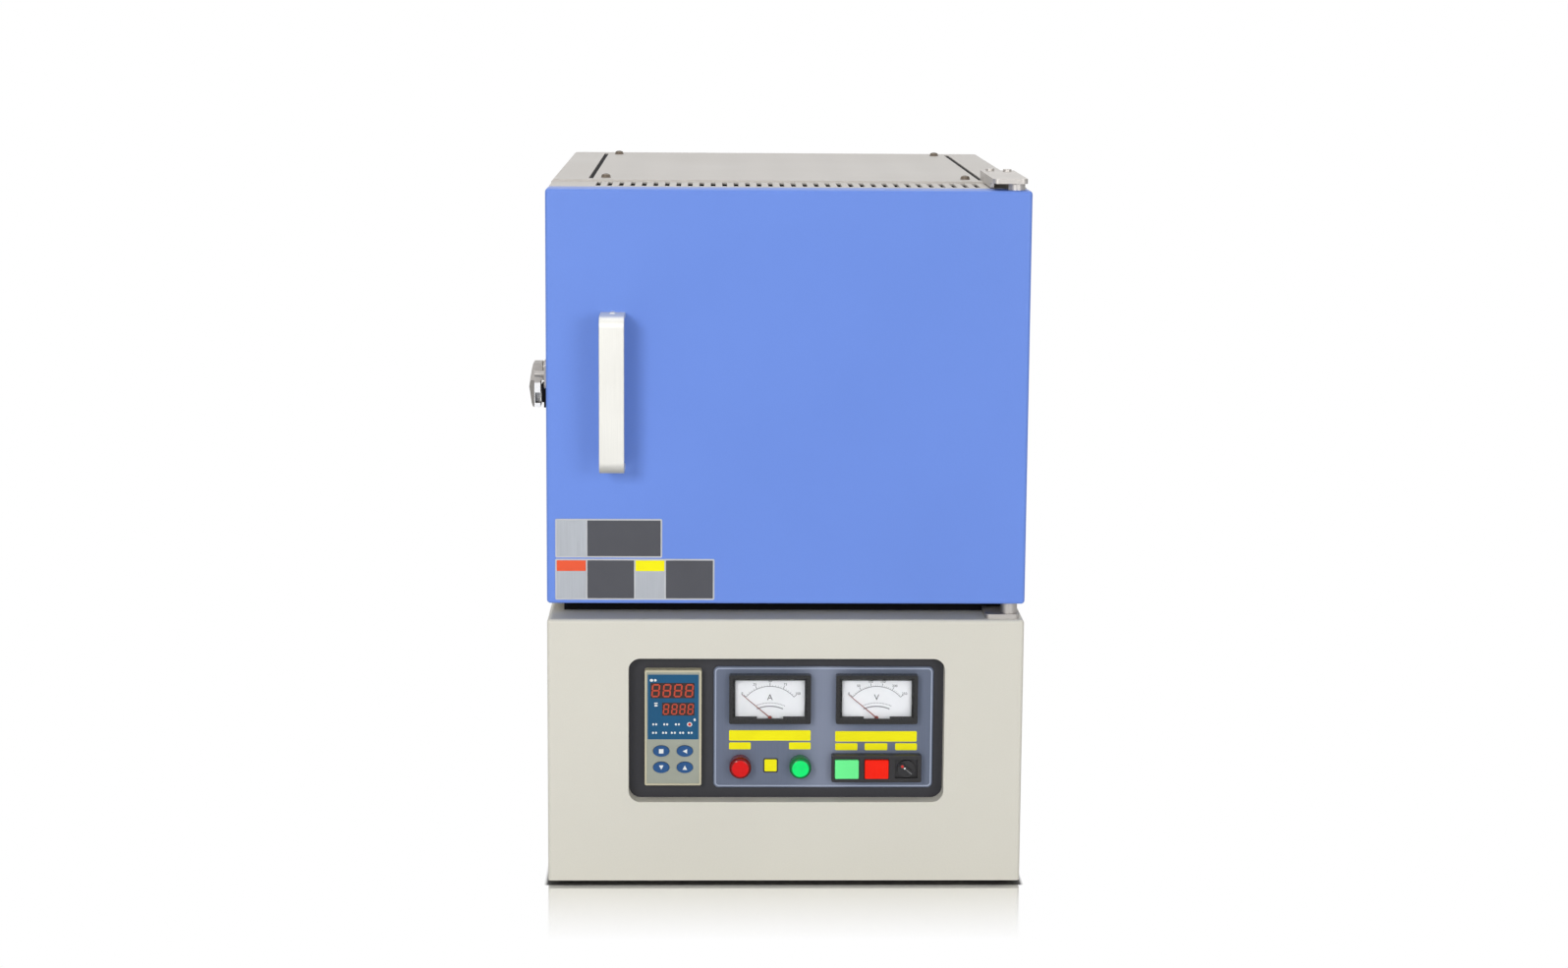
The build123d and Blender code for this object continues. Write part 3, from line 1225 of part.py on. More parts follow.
# Door shell: a folded tray with rounded front edges and two pivot blocks inside
with BuildPart() as door_shell:
    level_block(-half_w, half_w, front_y, door_back, door_z, door_top)
    corner_edges = door_shell.edges().filter_by(Axis.Y)
    fillet(corner_edges + door_shell.edges().group_by(Axis.Y)[0], EDGE_R)
    level_block(-half_w + SHEET, half_w - SHEET, front_y + SHEET, door_back, door_z + SHEET,
                door_top - SHEET, mode=Mode.SUBTRACT)
    block_back = door_back - SHEET - SKIN_GAP
    for z_lo, z_hi in ((door_z, door_z + PIVOT_BLOCK_H), (door_top - PIVOT_BLOCK_H, door_top)):
        level_block(half_w - SHEET - PIVOT_BLOCK_W, half_w - SHEET, front_y + SHEET, block_back,
                    z_lo + SHEET / 2, z_hi - SHEET / 2)
        with BuildSketch(level(z_lo)):
            with Locations((hinge_x, hinge_y)):
                Circle(PIN_R + PIN_SEAT_FIT)
        extrude(amount=z_hi - z_lo, mode=Mode.SUBTRACT)
    for boss_z in handle_bosses:
        round_along_y(handle_x, boss_z, HANDLE_SCREW_R + FIT, front_y, SHEET, mode=Mode.SUBTRACT)
save(door_shell, "door_shell")

# Door liner: the steel plate that closes the back of the door round the plug
liner_w = BODY_W - 2 * (SHEET + SKIN_GAP)
liner_h = DOOR_H - 2 * (SHEET + SKIN_GAP)
with BuildPart() as door_liner:
    front_block(0, door_z + DOOR_H / 2, liner_w, liner_h, door_back - SHEET, SHEET)
    front_block(0, mouth_z, plug_w + 2 * PLUG_LINER_GAP, PLUG_H + 2 * PLUG_LINER_GAP,
                door_back - SHEET, SHEET, mode=Mode.SUBTRACT)
save(door_liner, "door_liner")

# Door plug: a fibre slab inside the door with a tapered block that fills the mouth
plug_tip = cabinet_y + PLUG_DEPTH
with BuildPart() as door_plug:
    front_block(0, mouth_z, slab_w, SLAB_H, front_y + SHEET + SKIN_GAP, DOOR_T - 2 * SHEET - SKIN_GAP)
    with BuildSketch(facing(door_back - SHEET)):
        with Locations((0, mouth_z)):
            Rectangle(plug_w, PLUG_H)
    with BuildSketch(facing(plug_tip)):
        with Locations((0, mouth_z)):
            Rectangle(plug_w - 2 * PLUG_TAPER, PLUG_H - 2 * PLUG_TAPER)
    loft()
save(door_plug, "door_plug")

# Door handle: a flat strap bent back at both ends, with a screw boss in each foot
with BuildPart() as door_handle:
    z_lo = HANDLE_Z - HANDLE_L / 2
    z_hi = HANDLE_Z + HANDLE_L / 2
    out_y = front_y - HANDLE_OUT
    with BuildSketch(sideways(handle_x - HANDLE_W / 2)):
        with BuildLine():
            FilletPolyline((front_y, z_lo), (out_y, z_lo), (out_y, z_hi), (front_y, z_hi), radius=HANDLE_R)
            Line((front_y, z_hi), (front_y, z_hi - HANDLE_T))
            FilletPolyline(
                (front_y, z_hi - HANDLE_T), (out_y + HANDLE_T, z_hi - HANDLE_T),
                (out_y + HANDLE_T, z_lo + HANDLE_T), (front_y, z_lo + HANDLE_T),
                radius=HANDLE_R - HANDLE_T,
            )
            Line((front_y, z_lo + HANDLE_T), (front_y, z_lo))
        make_face()
    extrude(amount=HANDLE_W)
    strap_edges = door_handle.edges().group_by(Axis.X)
    fillet(strap_edges[0] + strap_edges[-1], HANDLE_EDGE_R)
    for boss_z in handle_bosses:
        round_along_y(handle_x, boss_z, HANDLE_BOSS_R, front_y - HANDLE_BOSS_L, HANDLE_BOSS_L)
        round_along_y(handle_x, boss_z, HANDLE_SCREW_R + FIT, front_y - HANDLE_SCREW_L, HANDLE_SCREW_L,
                      mode=Mode.SUBTRACT)
save(door_handle, "door_handle")

# Handle screws: from inside the door into the bosses
with BuildPart() as handle_screws:
    for boss_z in handle_bosses:
        round_along_y(handle_x, boss_z, HANDLE_SCREW_R, front_y - HANDLE_SCREW_L + HANDLE_SCREW_END,
                      HANDLE_SCREW_L - HANDLE_SCREW_END + SHEET)
        round_along_y(handle_x, boss_z, HANDLE_SCREW_HEAD_R, front_y + SHEET, HANDLE_SCREW_HEAD_H)
save(handle_screws, "handle_screws")

# Hinge pins: a journal above a collar at the door top, and the same turned over below it
upper_plate_z = deck_top + UPPER_RISE
lower_plate_top = base_top + BRACKET_T
with BuildPart() as hinge_pins:
    for seat_z, collar_end, journal_end, inward in (
        (door_top, upper_plate_z - FIT, upper_plate_z + BRACKET_T, -1),
        (door_z, lower_plate_top + FIT, base_top + FIT, 1),
    ):
        for radius, start, end in (
            (PIN_R, seat_z, seat_z + inward * PIN_SEAT_L),
            (PIN_COLLAR_R, seat_z, collar_end),
            (PIN_R, collar_end, journal_end),
        ):
            with BuildSketch(level(min(start, end))):
                with Locations((hinge_x, hinge_y)):
                    Circle(radius)
            extrude(amount=abs(end - start))
save(hinge_pins, "hinge_pins")

# Upper hinge bracket: a steel strap on a pad, its inner side turned down along the vent strip
bracket_hi = hinge_x + BRACKET_SIDE
bracket_lo = bracket_hi - BRACKET_W
upper_front_y = hinge_y - UPPER_FRONT
upper_pad_y = frame_back + UPPER_PAD_IN
upper_back_y = upper_pad_y + UPPER_PAD_L
with BuildPart() as upper_hinge_bracket:
    level_block(bracket_lo, bracket_hi, upper_front_y, upper_back_y, upper_plate_z,
                upper_plate_z + BRACKET_T)
    fillet(upper_hinge_bracket.edges().filter_by(Axis.Z).group_by(Axis.Y)[0], BRACKET_EDGE_R)
    level_block(bracket_lo, bracket_hi, upper_pad_y, upper_back_y, deck_top, upper_plate_z)
    level_block(bracket_lo, bracket_lo + UPPER_TURN_T, door_back + UPPER_TURN_GAP,
                frame_back - SKIN_GAP, door_top + UPPER_TURN_GAP, upper_plate_z)
    with BuildSketch(level(upper_plate_z)):
        with Locations((hinge_x, hinge_y)):
            Circle(PIN_R + FIT)
    extrude(amount=BRACKET_T, mode=Mode.SUBTRACT)
save(upper_hinge_bracket, "upper_hinge_bracket")

# Lower hinge bracket: a flat strap on the base, under the door and the cabinet
lower_front_y = hinge_y - LOWER_FRONT
lower_back_y = hinge_y + LOWER_BACK
with BuildPart() as lower_hinge_bracket:
    level_block(bracket_lo, bracket_hi, lower_front_y, lower_back_y, base_top, lower_plate_top)
    fillet(lower_hinge_bracket.edges().filter_by(Axis.Z).group_by(Axis.Y)[0], BRACKET_EDGE_R)
    with BuildSketch(level(base_top)):
        with Locations((hinge_x, hinge_y)):
            Circle(PIN_R + FIT)
    extrude(amount=BRACKET_T, mode=Mode.SUBTRACT)
save(lower_hinge_bracket, "lower_hinge_bracket")

# Hinge screws: flat cap heads on both brackets
bracket_mid = (bracket_lo + bracket_hi) / 2
upper_screws = [
    (bracket_mid - UPPER_SCREW_X, upper_back_y - UPPER_SCREW_END),
    (bracket_mid + UPPER_SCREW_X, upper_back_y - UPPER_SCREW_END - UPPER_SCREW_STEP),
]
lower_screws = [
    (bracket_mid, lower_back_y - LOWER_SCREW_END),
    (bracket_mid, lower_back_y - LOWER_SCREW_END - LOWER_SCREW_STEP),
]
with BuildPart() as hinge_screws:
    for head_z, places in (
        (upper_plate_z + BRACKET_T, upper_screws),
        (lower_plate_top, lower_screws),
    ):
        with BuildSketch(level(head_z)):
            with Locations(*places):
                Circle(HINGE_SCREW_R)
        extrude(amount=HINGE_SCREW_H)
save(hinge_screws, "hinge_screws")

# Latch base: a cast block on the cabinet side that carries the lever pin
lever_in = -half_w - LATCH_BASE_T - LATCH_GAP
lever_out = lever_in - LATCH_T
head_seat = lever_out + LATCH_HEAD_SET
with BuildPart() as latch_base:
    base_y = cabinet_y + SKIN_GAP + LATCH_BASE_W / 2
    with BuildSketch(sideways(-half_w - LATCH_BASE_T)):
        with Locations((base_y, LATCH_Z)):
            RectangleRounded(LATCH_BASE_W, LATCH_HUB_H, LATCH_BASE_R)
    extrude(amount=LATCH_BASE_T + SHEET)
    with BuildSketch(sideways(head_seat - FIT)):
        with Locations((latch_y, LATCH_Z)):
            Circle(LATCH_PIN_R)
    extrude(amount=-half_w - LATCH_BASE_T - head_seat + 2 * FIT)
    with BuildSketch(sideways(head_seat - FIT)):
        with Locations((latch_y, LATCH_Z)):
            Circle(LATCH_HEAD_R)
    extrude(amount=-LATCH_HEAD_H)
save(latch_base, "latch_base")

# Latch lever: a square hub with a ridged arm that hangs when released, and turns forward and up
# until the notch in its inner face holds the keeper pin
hub_top = LATCH_Z + LATCH_HUB_H / 2
hub_bottom = LATCH_Z - LATCH_HUB_H / 2
arm_end = LATCH_Z - LATCH_ARM_L
arm_front = latch_y - LATCH_ARM_W / 2
ridge_out = lever_out - LATCH_RIDGE
notch_z = LATCH_Z - LATCH_REACH
notch_half = KEEPER_R + NOTCH_GAP
relief_x = lever_in - LATCH_RELIEF
with BuildPart() as latch_lever:
    with BuildSketch(facing(arm_front)):
        with BuildLine():
            Polyline(
                (lever_in, hub_top), (lever_out, hub_top), (lever_out - LATCH_SHOULDER, LATCH_Z),
                (ridge_out, LATCH_Z - LATCH_RIDGE_DROP), (lever_out - LATCH_TOE, arm_end + LATCH_TOE_RISE),
                (lever_out - LATCH_END_OUT, arm_end), (lever_in, arm_end), close=True,
            )
        make_face()
    extrude(amount=-LATCH_ARM_W)
    fillet(latch_lever.edges().filter_by(Axis.Y).group_by(Axis.Z)[-1], LATCH_EDGE_R)
    fillet(latch_lever.edges().filter_by(Axis.Y).group_by(Axis.Z)[0], LATCH_EDGE_R)
    level_block(relief_x, lever_in, arm_front, arm_front + LATCH_ARM_W, arm_end, hub_bottom,
                mode=Mode.SUBTRACT)
    with BuildSketch(level(arm_end)):
        with BuildLine():
            Polyline((lever_out + LATCH_FACET_IN, arm_front), (ridge_out - LATCH_FACET_IN, arm_front),
                     (ridge_out - LATCH_FACET_IN, arm_front + LATCH_FACET), close=True)
        make_face()
    extrude(amount=hub_bottom - arm_end, mode=Mode.SUBTRACT)
    level_block(relief_x - NOTCH_D, lever_in, arm_front, latch_y + notch_half, notch_z - notch_half,
                notch_z + notch_half + NOTCH_RISE, mode=Mode.SUBTRACT)
    with BuildSketch(sideways(head_seat)):
        with Locations((latch_y, LATCH_Z)):
            Circle(LATCH_HEAD_R + FIT)
    extrude(amount=ridge_out - head_seat, mode=Mode.SUBTRACT)
    with BuildSketch(sideways(lever_in)):
        with Locations((latch_y, LATCH_Z)):
            Circle(LATCH_PIN_R + FIT)
    extrude(amount=head_seat - lever_in, mode=Mode.SUBTRACT)
save(latch_lever, "latch_lever")

# Latch keeper: a plate on the door's edge with the pin that the lever takes hold of
with BuildPart() as latch_keeper:
    with BuildSketch(sideways(-half_w)):
        with Locations((door_back - SHEET - KEEPER_PLATE_W / 2, LATCH_Z)):
            RectangleRounded(KEEPER_PLATE_W, KEEPER_PLATE_H, KEEPER_PLATE_R)
    extrude(amount=-KEEPER_PLATE_T)
    with BuildSketch(sideways(-half_w - KEEPER_PLATE_T)):
        with Locations((keeper_y, LATCH_Z)):
            Circle(KEEPER_R)
    extrude(amount=relief_x - NOTCH_D + KEEPER_END + half_w + KEEPER_PLATE_T)
save(latch_keeper, "latch_keeper")
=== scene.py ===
from math import cos, pi, radians, sin

import bmesh
import bpy
from mathutils import Matrix, Vector

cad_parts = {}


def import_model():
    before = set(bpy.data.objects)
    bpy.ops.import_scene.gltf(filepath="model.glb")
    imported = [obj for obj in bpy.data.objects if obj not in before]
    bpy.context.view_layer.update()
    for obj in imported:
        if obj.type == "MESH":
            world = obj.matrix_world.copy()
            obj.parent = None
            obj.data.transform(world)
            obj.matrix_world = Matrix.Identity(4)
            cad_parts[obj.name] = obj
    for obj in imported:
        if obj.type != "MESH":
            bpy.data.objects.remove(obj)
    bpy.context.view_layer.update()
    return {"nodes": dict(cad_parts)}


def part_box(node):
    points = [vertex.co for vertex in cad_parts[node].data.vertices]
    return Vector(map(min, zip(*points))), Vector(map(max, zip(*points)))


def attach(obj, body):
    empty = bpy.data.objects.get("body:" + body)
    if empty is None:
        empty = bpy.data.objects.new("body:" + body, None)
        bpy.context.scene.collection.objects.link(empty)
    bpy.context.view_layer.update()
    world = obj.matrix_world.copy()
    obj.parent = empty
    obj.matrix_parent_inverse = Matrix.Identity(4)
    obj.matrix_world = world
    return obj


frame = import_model()
NODES = frame["nodes"]

# All sizes are in metres. X runs to the right, Y backwards and Z up, as in the CAD frame.
MM = 0.001

# Camera, fitted to the corners of the door, the base and the deck in the photograph
PHOTO_W = 1596
PHOTO_FOCAL = 2874
PHOTO_SHIFT = -80
CAMERA_PLACE = Vector((-0.0629, -2.5621, 0.7504))
CAMERA_YAW = -1.48
CAMERA_PITCH = 8.351
CAMERA_ROLL = -0.42
SENSOR = 36.0

# Thickness of the cabinet's sheet, and of what is stuck or printed on a surface
FRAME_SHEET = 1.5 * MM
LABEL_T = 0.35 * MM
PRINT_T = 0.12 * MM
SINK = 0.05 * MM


def srgb(red, green, blue):
    """A colour as seen on a screen, 0 to 255, as linear values for a shader."""
    def linear(value):
        share = value / 255
        return share / 12.92 if share <= 0.04045 else ((share + 0.055) / 1.055) ** 2.4
    return (linear(red), linear(green), linear(blue), 1.0)


# Shader building


def add(tree, kind, inputs=None, **settings):
    """A shader node with its settings, and each input set to a value or linked to a socket."""
    made = tree.nodes.new("ShaderNode" + kind)
    for name, value in settings.items():
        setattr(made, name, value)
    for name, value in (inputs or {}).items():
        if isinstance(value, bpy.types.NodeSocket):
            tree.links.new(value, made.inputs[name])
        else:
            made.inputs[name].default_value = value
    return made


def open_group(name, inputs, outputs):
    """A shader node group with named sockets: its tree, the node of its inputs and of its outputs."""
    tree = bpy.data.node_groups.new(name, "ShaderNodeTree")
    for way, sockets in (("INPUT", inputs), ("OUTPUT", outputs)):
        for socket_name, kind in sockets:
            tree.interface.new_socket(name=socket_name, in_out=way, socket_type="NodeSocket" + kind)
    return tree, tree.nodes.new("NodeGroupInput").outputs, tree.nodes.new("NodeGroupOutput").inputs


def place_group(tree, group, **values):
    """The group placed in a material, with its own values. Underscores stand for spaces."""
    made = tree.nodes.new("ShaderNodeGroup")
    made.node_tree = group
    for name, value in values.items():
        socket = made.inputs[name.replace("_", " ")]
        if isinstance(value, bpy.types.NodeSocket):
            tree.links.new(value, socket)
        else:
            socket.default_value = value
    return made.outputs


def spread(tree, value, low, high):
    """A noise value of about 0.3 to 0.7, spread from low to high."""
    return add(tree, "MapRange", {
        "Value": value, "From Min": 0.3, "From Max": 0.7, "To Min": low, "To Max": high,
    }).outputs["Result"]


def brighter(tree, colour, value):
    return add(tree, "HueSaturation", {"Color": colour, "Value": value}).outputs["Color"]


# Cosine between the rounded and the true normal, on a flat and on a sharp edge
FLAT_COSINE = 0.995
EDGE_COSINE = 0.86


def edge_mask_group():
    """1 along outer and inner edges of a part within Radius, 0 on its flats."""
    tree, given, result = open_group("edge_mask", [("Radius", "Float")], [("Edge", "Float")])
    rounded = add(tree, "Bevel", {"Radius": given["Radius"]}, samples=4).outputs["Normal"]
    flat = add(tree, "NewGeometry").outputs["Normal"]
    same = add(tree, "VectorMath", {0: rounded, 1: flat}, operation="DOT_PRODUCT").outputs["Value"]
    edge = add(tree, "MapRange", {
        "Value": same, "From Min": FLAT_COSINE, "From Max": EDGE_COSINE, "To Min": 0.0, "To Max": 1.0,
    })
    tree.links.new(edge.outputs["Result"], result["Edge"])
    return tree


def powder_coat_group():
    """Powder coat: orange peel, a faint cloudiness, and painted light along the edges: a painted highlight
    for a positive edge amount, painted shade for a negative one.
    """
    tree, given, result = open_group(
        "powder_coat",
        [("Colour", "Color"), ("Peel Size", "Float"), ("Peel Depth", "Float"), ("Cloud", "Float"),
         ("Roughness", "Float"), ("Edge Lift", "Float"), ("Edge Radius", "Float")],
        [("Colour", "Color"), ("Roughness", "Float"), ("Normal", "Vector")],
    )
    where = add(tree, "TexCoord").outputs["Object"]
    peel = add(tree, "TexNoise", {"Vector": where, "Scale": given["Peel Size"], "Detail": 2.0,
                                  "Roughness": 0.45}).outputs["Fac"]
    cloud = add(tree, "TexNoise", {"Vector": where, "Scale": 7.0, "Detail": 3.0}).outputs["Fac"]
    speck = add(tree, "TexNoise", {"Vector": where, "Scale": 900.0, "Detail": 1.0}).outputs["Fac"]
    lift = spread(tree, cloud, -1.0, 1.0)
    lift = add(tree, "Math", {0: lift, 1: given["Cloud"]}, operation="MULTIPLY").outputs[0]
    fine = spread(tree, speck, -0.012, 0.012)
    lift = add(tree, "Math", {0: lift, 1: fine}, operation="ADD").outputs[0]
    # Painted light along the edges: painted highlight for a positive amount, painted shade for a negative
    # one
    edge = place_group(tree, EDGE_MASK, Radius=given["Edge Radius"])["Edge"]
    edge = add(tree, "Math", {0: edge, 1: given["Edge Lift"]}, operation="MULTIPLY").outputs[0]
    lift = add(tree, "Math", {0: lift, 1: edge}, operation="ADD").outputs[0]
    lift = add(tree, "Math", {0: lift, 1: 1.0}, operation="ADD").outputs[0]
    tree.links.new(brighter(tree, given["Colour"], lift), result["Colour"])
    rough = spread(tree, cloud, -0.04, 0.05)
    rough = add(tree, "Math", {0: rough, 1: given["Roughness"]}, operation="ADD").outputs[0]
    tree.links.new(rough, result["Roughness"])
    bump = add(tree, "Bump", {"Height": peel, "Strength": given["Peel Depth"], "Distance": 0.3 * MM})
    tree.links.new(bump.outputs["Normal"], result["Normal"])
    return tree


def brushed_group():
    """Drawn or brushed metal: long fine lines along one axis, with small smudges."""
    tree, given, result = open_group(
        "brushed_metal",
        [("Colour", "Color"), ("Lines", "Vector"), ("Depth", "Float"), ("Roughness", "Float"),
         ("Smudge", "Float")],
        [("Colour", "Color"), ("Roughness", "Float"), ("Normal", "Vector")],
    )
    where = add(tree, "TexCoord").outputs["Object"]
    drawn = add(tree, "Mapping", {"Vector": where, "Scale": given["Lines"]}).outputs["Vector"]
    line = add(tree, "TexNoise", {"Vector": drawn, "Scale": 1.0, "Detail": 4.0}).outputs["Fac"]
    smudge = add(tree, "TexNoise", {"Vector": where, "Scale": 22.0, "Detail": 4.0}).outputs["Fac"]
    lift = add(tree, "Math", {0: spread(tree, line, -0.05, 0.05), 1: 1.0}, operation="ADD").outputs[0]
    smear = add(tree, "Math", {0: spread(tree, smudge, -1.0, 1.0), 1: given["Smudge"]},
                operation="MULTIPLY").outputs[0]
    lift = add(tree, "Math", {0: lift, 1: smear}, operation="SUBTRACT").outputs[0]
    tree.links.new(brighter(tree, given["Colour"], lift), result["Colour"])
    rough = add(tree, "Math", {0: spread(tree, line, -0.05, 0.07), 1: given["Roughness"]},
                operation="ADD").outputs[0]
    rough = add(tree, "Math", {0: rough, 1: smear}, operation="ADD").outputs[0]
    tree.links.new(rough, result["Roughness"])
    bump = add(tree, "Bump", {"Height": line, "Strength": given["Depth"], "Distance": 0.2 * MM})
    tree.links.new(bump.outputs["Normal"], result["Normal"])
    return tree


def moulding_group():
    """Moulded or cast surface: a fine even grain, with flow marks and a painted highlight along its edges.
    """
    tree, given, result = open_group(
        "moulding",
        [("Colour", "Color"), ("Grain Size", "Float"), ("Depth", "Float"), ("Roughness", "Float"),
         ("Edge Lift", "Float"), ("Edge Radius", "Float")],
        [("Colour", "Color"), ("Roughness", "Float"), ("Normal", "Vector")],
    )
    where = add(tree, "TexCoord").outputs["Object"]
    grain = add(tree, "TexNoise", {"Vector": where, "Scale": given["Grain Size"], "Detail": 3.0})
    flow = add(tree, "TexNoise", {"Vector": where, "Scale": 40.0, "Detail": 2.0}).outputs["Fac"]
    # Painted highlight along the edges
    edge = place_group(tree, EDGE_MASK, Radius=given["Edge Radius"])["Edge"]
    edge = add(tree, "Math", {0: edge, 1: given["Edge Lift"]}, operation="MULTIPLY").outputs[0]
    lift = add(tree, "Math", {0: spread(tree, flow, 0.96, 1.04), 1: edge}, operation="ADD").outputs[0]
    tree.links.new(brighter(tree, given["Colour"], lift), result["Colour"])
    rough = add(tree, "Math", {0: spread(tree, grain.outputs["Fac"], -0.05, 0.06),
                               1: given["Roughness"]}, operation="ADD").outputs[0]
    tree.links.new(rough, result["Roughness"])
    bump = add(tree, "Bump", {"Height": grain.outputs["Fac"], "Strength": given["Depth"],
                              "Distance": 0.2 * MM})
    tree.links.new(bump.outputs["Normal"], result["Normal"])
    return tree


def fibre_group():
    """Vacuum-formed ceramic fibre: matted strands, small pits and a faint stain."""
    tree, given, result = open_group(
        "ceramic_fibre",
        [("Colour", "Color"), ("Stain", "Color"), ("Depth", "Float")],
        [("Colour", "Color"), ("Normal", "Vector")],
    )
    where = add(tree, "TexCoord").outputs["Object"]
    strand = add(tree, "TexNoise", {"Vector": where, "Scale": 420.0, "Detail": 6.0,
                                    "Distortion": 2.5}).outputs["Fac"]
    pit = add(tree, "TexVoronoi", {"Vector": where, "Scale": 150.0}).outputs["Distance"]
    patch = add(tree, "TexNoise", {"Vector": where, "Scale": 11.0, "Detail": 4.0}).outputs["Fac"]
    stain = add(tree, "Mix", {0: spread(tree, patch, 0.0, 0.5), 6: given["Colour"],
                              7: given["Stain"]}, data_type="RGBA").outputs[2]
    tree.links.new(brighter(tree, stain, spread(tree, strand, 0.93, 1.05)), result["Colour"])
    height = add(tree, "Math", {0: strand, 1: pit}, operation="ADD").outputs[0]
    bump = add(tree, "Bump", {"Height": height, "Strength": given["Depth"], "Distance": 0.6 * MM})
    tree.links.new(bump.outputs["Normal"], result["Normal"])
    return tree


EDGE_MASK = edge_mask_group()
POWDER_COAT = powder_coat_group()
BRUSHED = brushed_group()
MOULDING = moulding_group()
FIBRE = fibre_group()


def open_material(name, **shader_values):
    """A material with one Principled shader, whose plain values are set on its own sockets."""
    material = bpy.data.materials.new(name)
    material.use_nodes = True
    tree = material.node_tree
    shader = tree.nodes["Principled BSDF"]
    for socket_name, value in shader_values.items():
        shader.inputs[socket_name.replace("_", " ")].default_value = value
    return material, tree, shader


def wire(tree, shader, outputs):
    """Feeds the colour, roughness and normal that a group puts out into the shader."""
    for made, socket_name in (("Colour", "Base Color"), ("Roughness", "Roughness"), ("Normal", "Normal")):
        if made in outputs:
            tree.links.new(outputs[made], shader.inputs[socket_name])


def powder_coated(name, colour, roughness=0.42, peel_size=520.0, peel_depth=0.22, cloud=0.012,
                  painted_edge_light=0.05, edge_radius=1.2 * MM, specular=0.5):
    material, tree, shader = open_material(name, Specular_IOR_Level=specular)
    wire(tree, shader, place_group(
        tree, POWDER_COAT, Colour=colour, Peel_Size=peel_size, Peel_Depth=peel_depth, Cloud=cloud,
        Roughness=roughness, Edge_Lift=painted_edge_light, Edge_Radius=edge_radius))
    return material


def brushed(name, colour, lines, depth=0.12, roughness=0.34, smudge=0.03):
    material, tree, shader = open_material(name, Metallic=1.0)
    wire(tree, shader, place_group(tree, BRUSHED, Colour=colour, Lines=lines, Depth=depth,
                                   Roughness=roughness, Smudge=smudge))
    return material


def moulded(name, colour, roughness=0.45, grain_size=1500.0, depth=0.15, painted_edge_light=0.06,
            edge_radius=0.5 * MM, **shader_values):
    material, tree, shader = open_material(name, **shader_values)
    wire(tree, shader, place_group(tree, MOULDING, Colour=colour, Grain_Size=grain_size, Depth=depth,
                                   Roughness=roughness, Edge_Lift=painted_edge_light, Edge_Radius=edge_radius))
    return material


def ceramic_fibre(name, colour, stain, depth=0.5):
    material, tree, shader = open_material(name, Roughness=0.95, Specular_IOR_Level=0.2)
    wire(tree, shader, place_group(tree, FIBRE, Colour=colour, Stain=stain, Depth=depth))
    return material


def clear_pane(name):
    """Thin clear plastic, with hairline scuffs in its gloss."""
    material, tree, shader = open_material(name, Transmission_Weight=1.0, IOR=1.2)
    shader.inputs["Base Color"].default_value = srgb(252, 253, 255)
    where = add(tree, "TexCoord").outputs["Object"]
    scuff = add(tree, "TexNoise", {"Vector": where, "Scale": 60.0, "Detail": 5.0}).outputs["Fac"]
    tree.links.new(spread(tree, scuff, 0.0, 0.05), shader.inputs["Roughness"])
    return material


# A signal lamp's face, and how far its colour fades into the painted shade round it
LENS_FACE_R = 6.7 * MM
LENS_FADE = 0.7 * MM


def lamp_lens(name, colour, rim_shade, node):
    """Dyed plastic lens: its own colour in the middle of its face, with painted shade in a ring round the
    face and on its side.
    """
    material, tree, shader = open_material(
        name, Specular_IOR_Level=0.3, Subsurface_Weight=0.2, Subsurface_Scale=0.003)
    shader.inputs["Subsurface Radius"].default_value = (1.0, 0.6, 0.4)
    low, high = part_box(node)
    middle = (low + high) / 2
    where = add(tree, "TexCoord").outputs["Object"]
    off = add(tree, "VectorMath", {0: where, 1: middle}, operation="SUBTRACT").outputs[0]
    off = add(tree, "VectorMath", {0: off, 1: (1.0, 0.0, 1.0)}, operation="MULTIPLY").outputs[0]
    radius = add(tree, "VectorMath", {0: off}, operation="LENGTH").outputs["Value"]
    share = add(tree, "MapRange", {"Value": radius, "From Min": LENS_FACE_R + LENS_FADE,
                                   "From Max": LENS_FACE_R}).outputs["Result"]
    swirl = add(tree, "TexNoise", {"Vector": where, "Scale": 160.0, "Detail": 2.0}).outputs["Fac"]
    # Painted shade round the face and on the side, the lens colour in the middle
    mixed = add(tree, "Mix", {0: share, 6: rim_shade, 7: colour}, data_type="RGBA").outputs[2]
    tree.links.new(brighter(tree, mixed, spread(tree, swirl, 0.95, 1.06)), shader.inputs["Base Color"])
    tree.links.new(spread(tree, swirl, 0.10, 0.16), shader.inputs["Roughness"])
    return material


def laminated(name, colour):
    """Varnished laminations: fine dark lines between the sheets."""
    material, tree, shader = open_material(name, Metallic=0.6)
    where = add(tree, "TexCoord").outputs["Object"]
    sheets = add(tree, "TexWave", {"Vector": where, "Scale": 320.0, "Distortion": 0.4},
                 bands_direction="Y").outputs["Fac"]
    tree.links.new(brighter(tree, colour, spread(tree, sheets, 0.75, 1.05)), shader.inputs["Base Color"])
    tree.links.new(spread(tree, sheets, 0.45, 0.6), shader.inputs["Roughness"])
    return material


def wound_copper(name, colour):
    """Enamelled windings, turn beside turn."""
    material, tree, shader = open_material(name, Metallic=0.8)
    where = add(tree, "TexCoord").outputs["Object"]
    turns = add(tree, "TexWave", {"Vector": where, "Scale": 200.0, "Distortion": 0.3},
                bands_direction="Z").outputs["Fac"]
    tree.links.new(brighter(tree, colour, spread(tree, turns, 0.7, 1.1)), shader.inputs["Base Color"])
    tree.links.new(spread(tree, turns, 0.25, 0.4), shader.inputs["Roughness"])
    bump = add(tree, "Bump", {"Height": turns, "Strength": 0.6, "Distance": 0.5 * MM})
    tree.links.new(bump.outputs["Normal"], shader.inputs["Normal"])
    return material


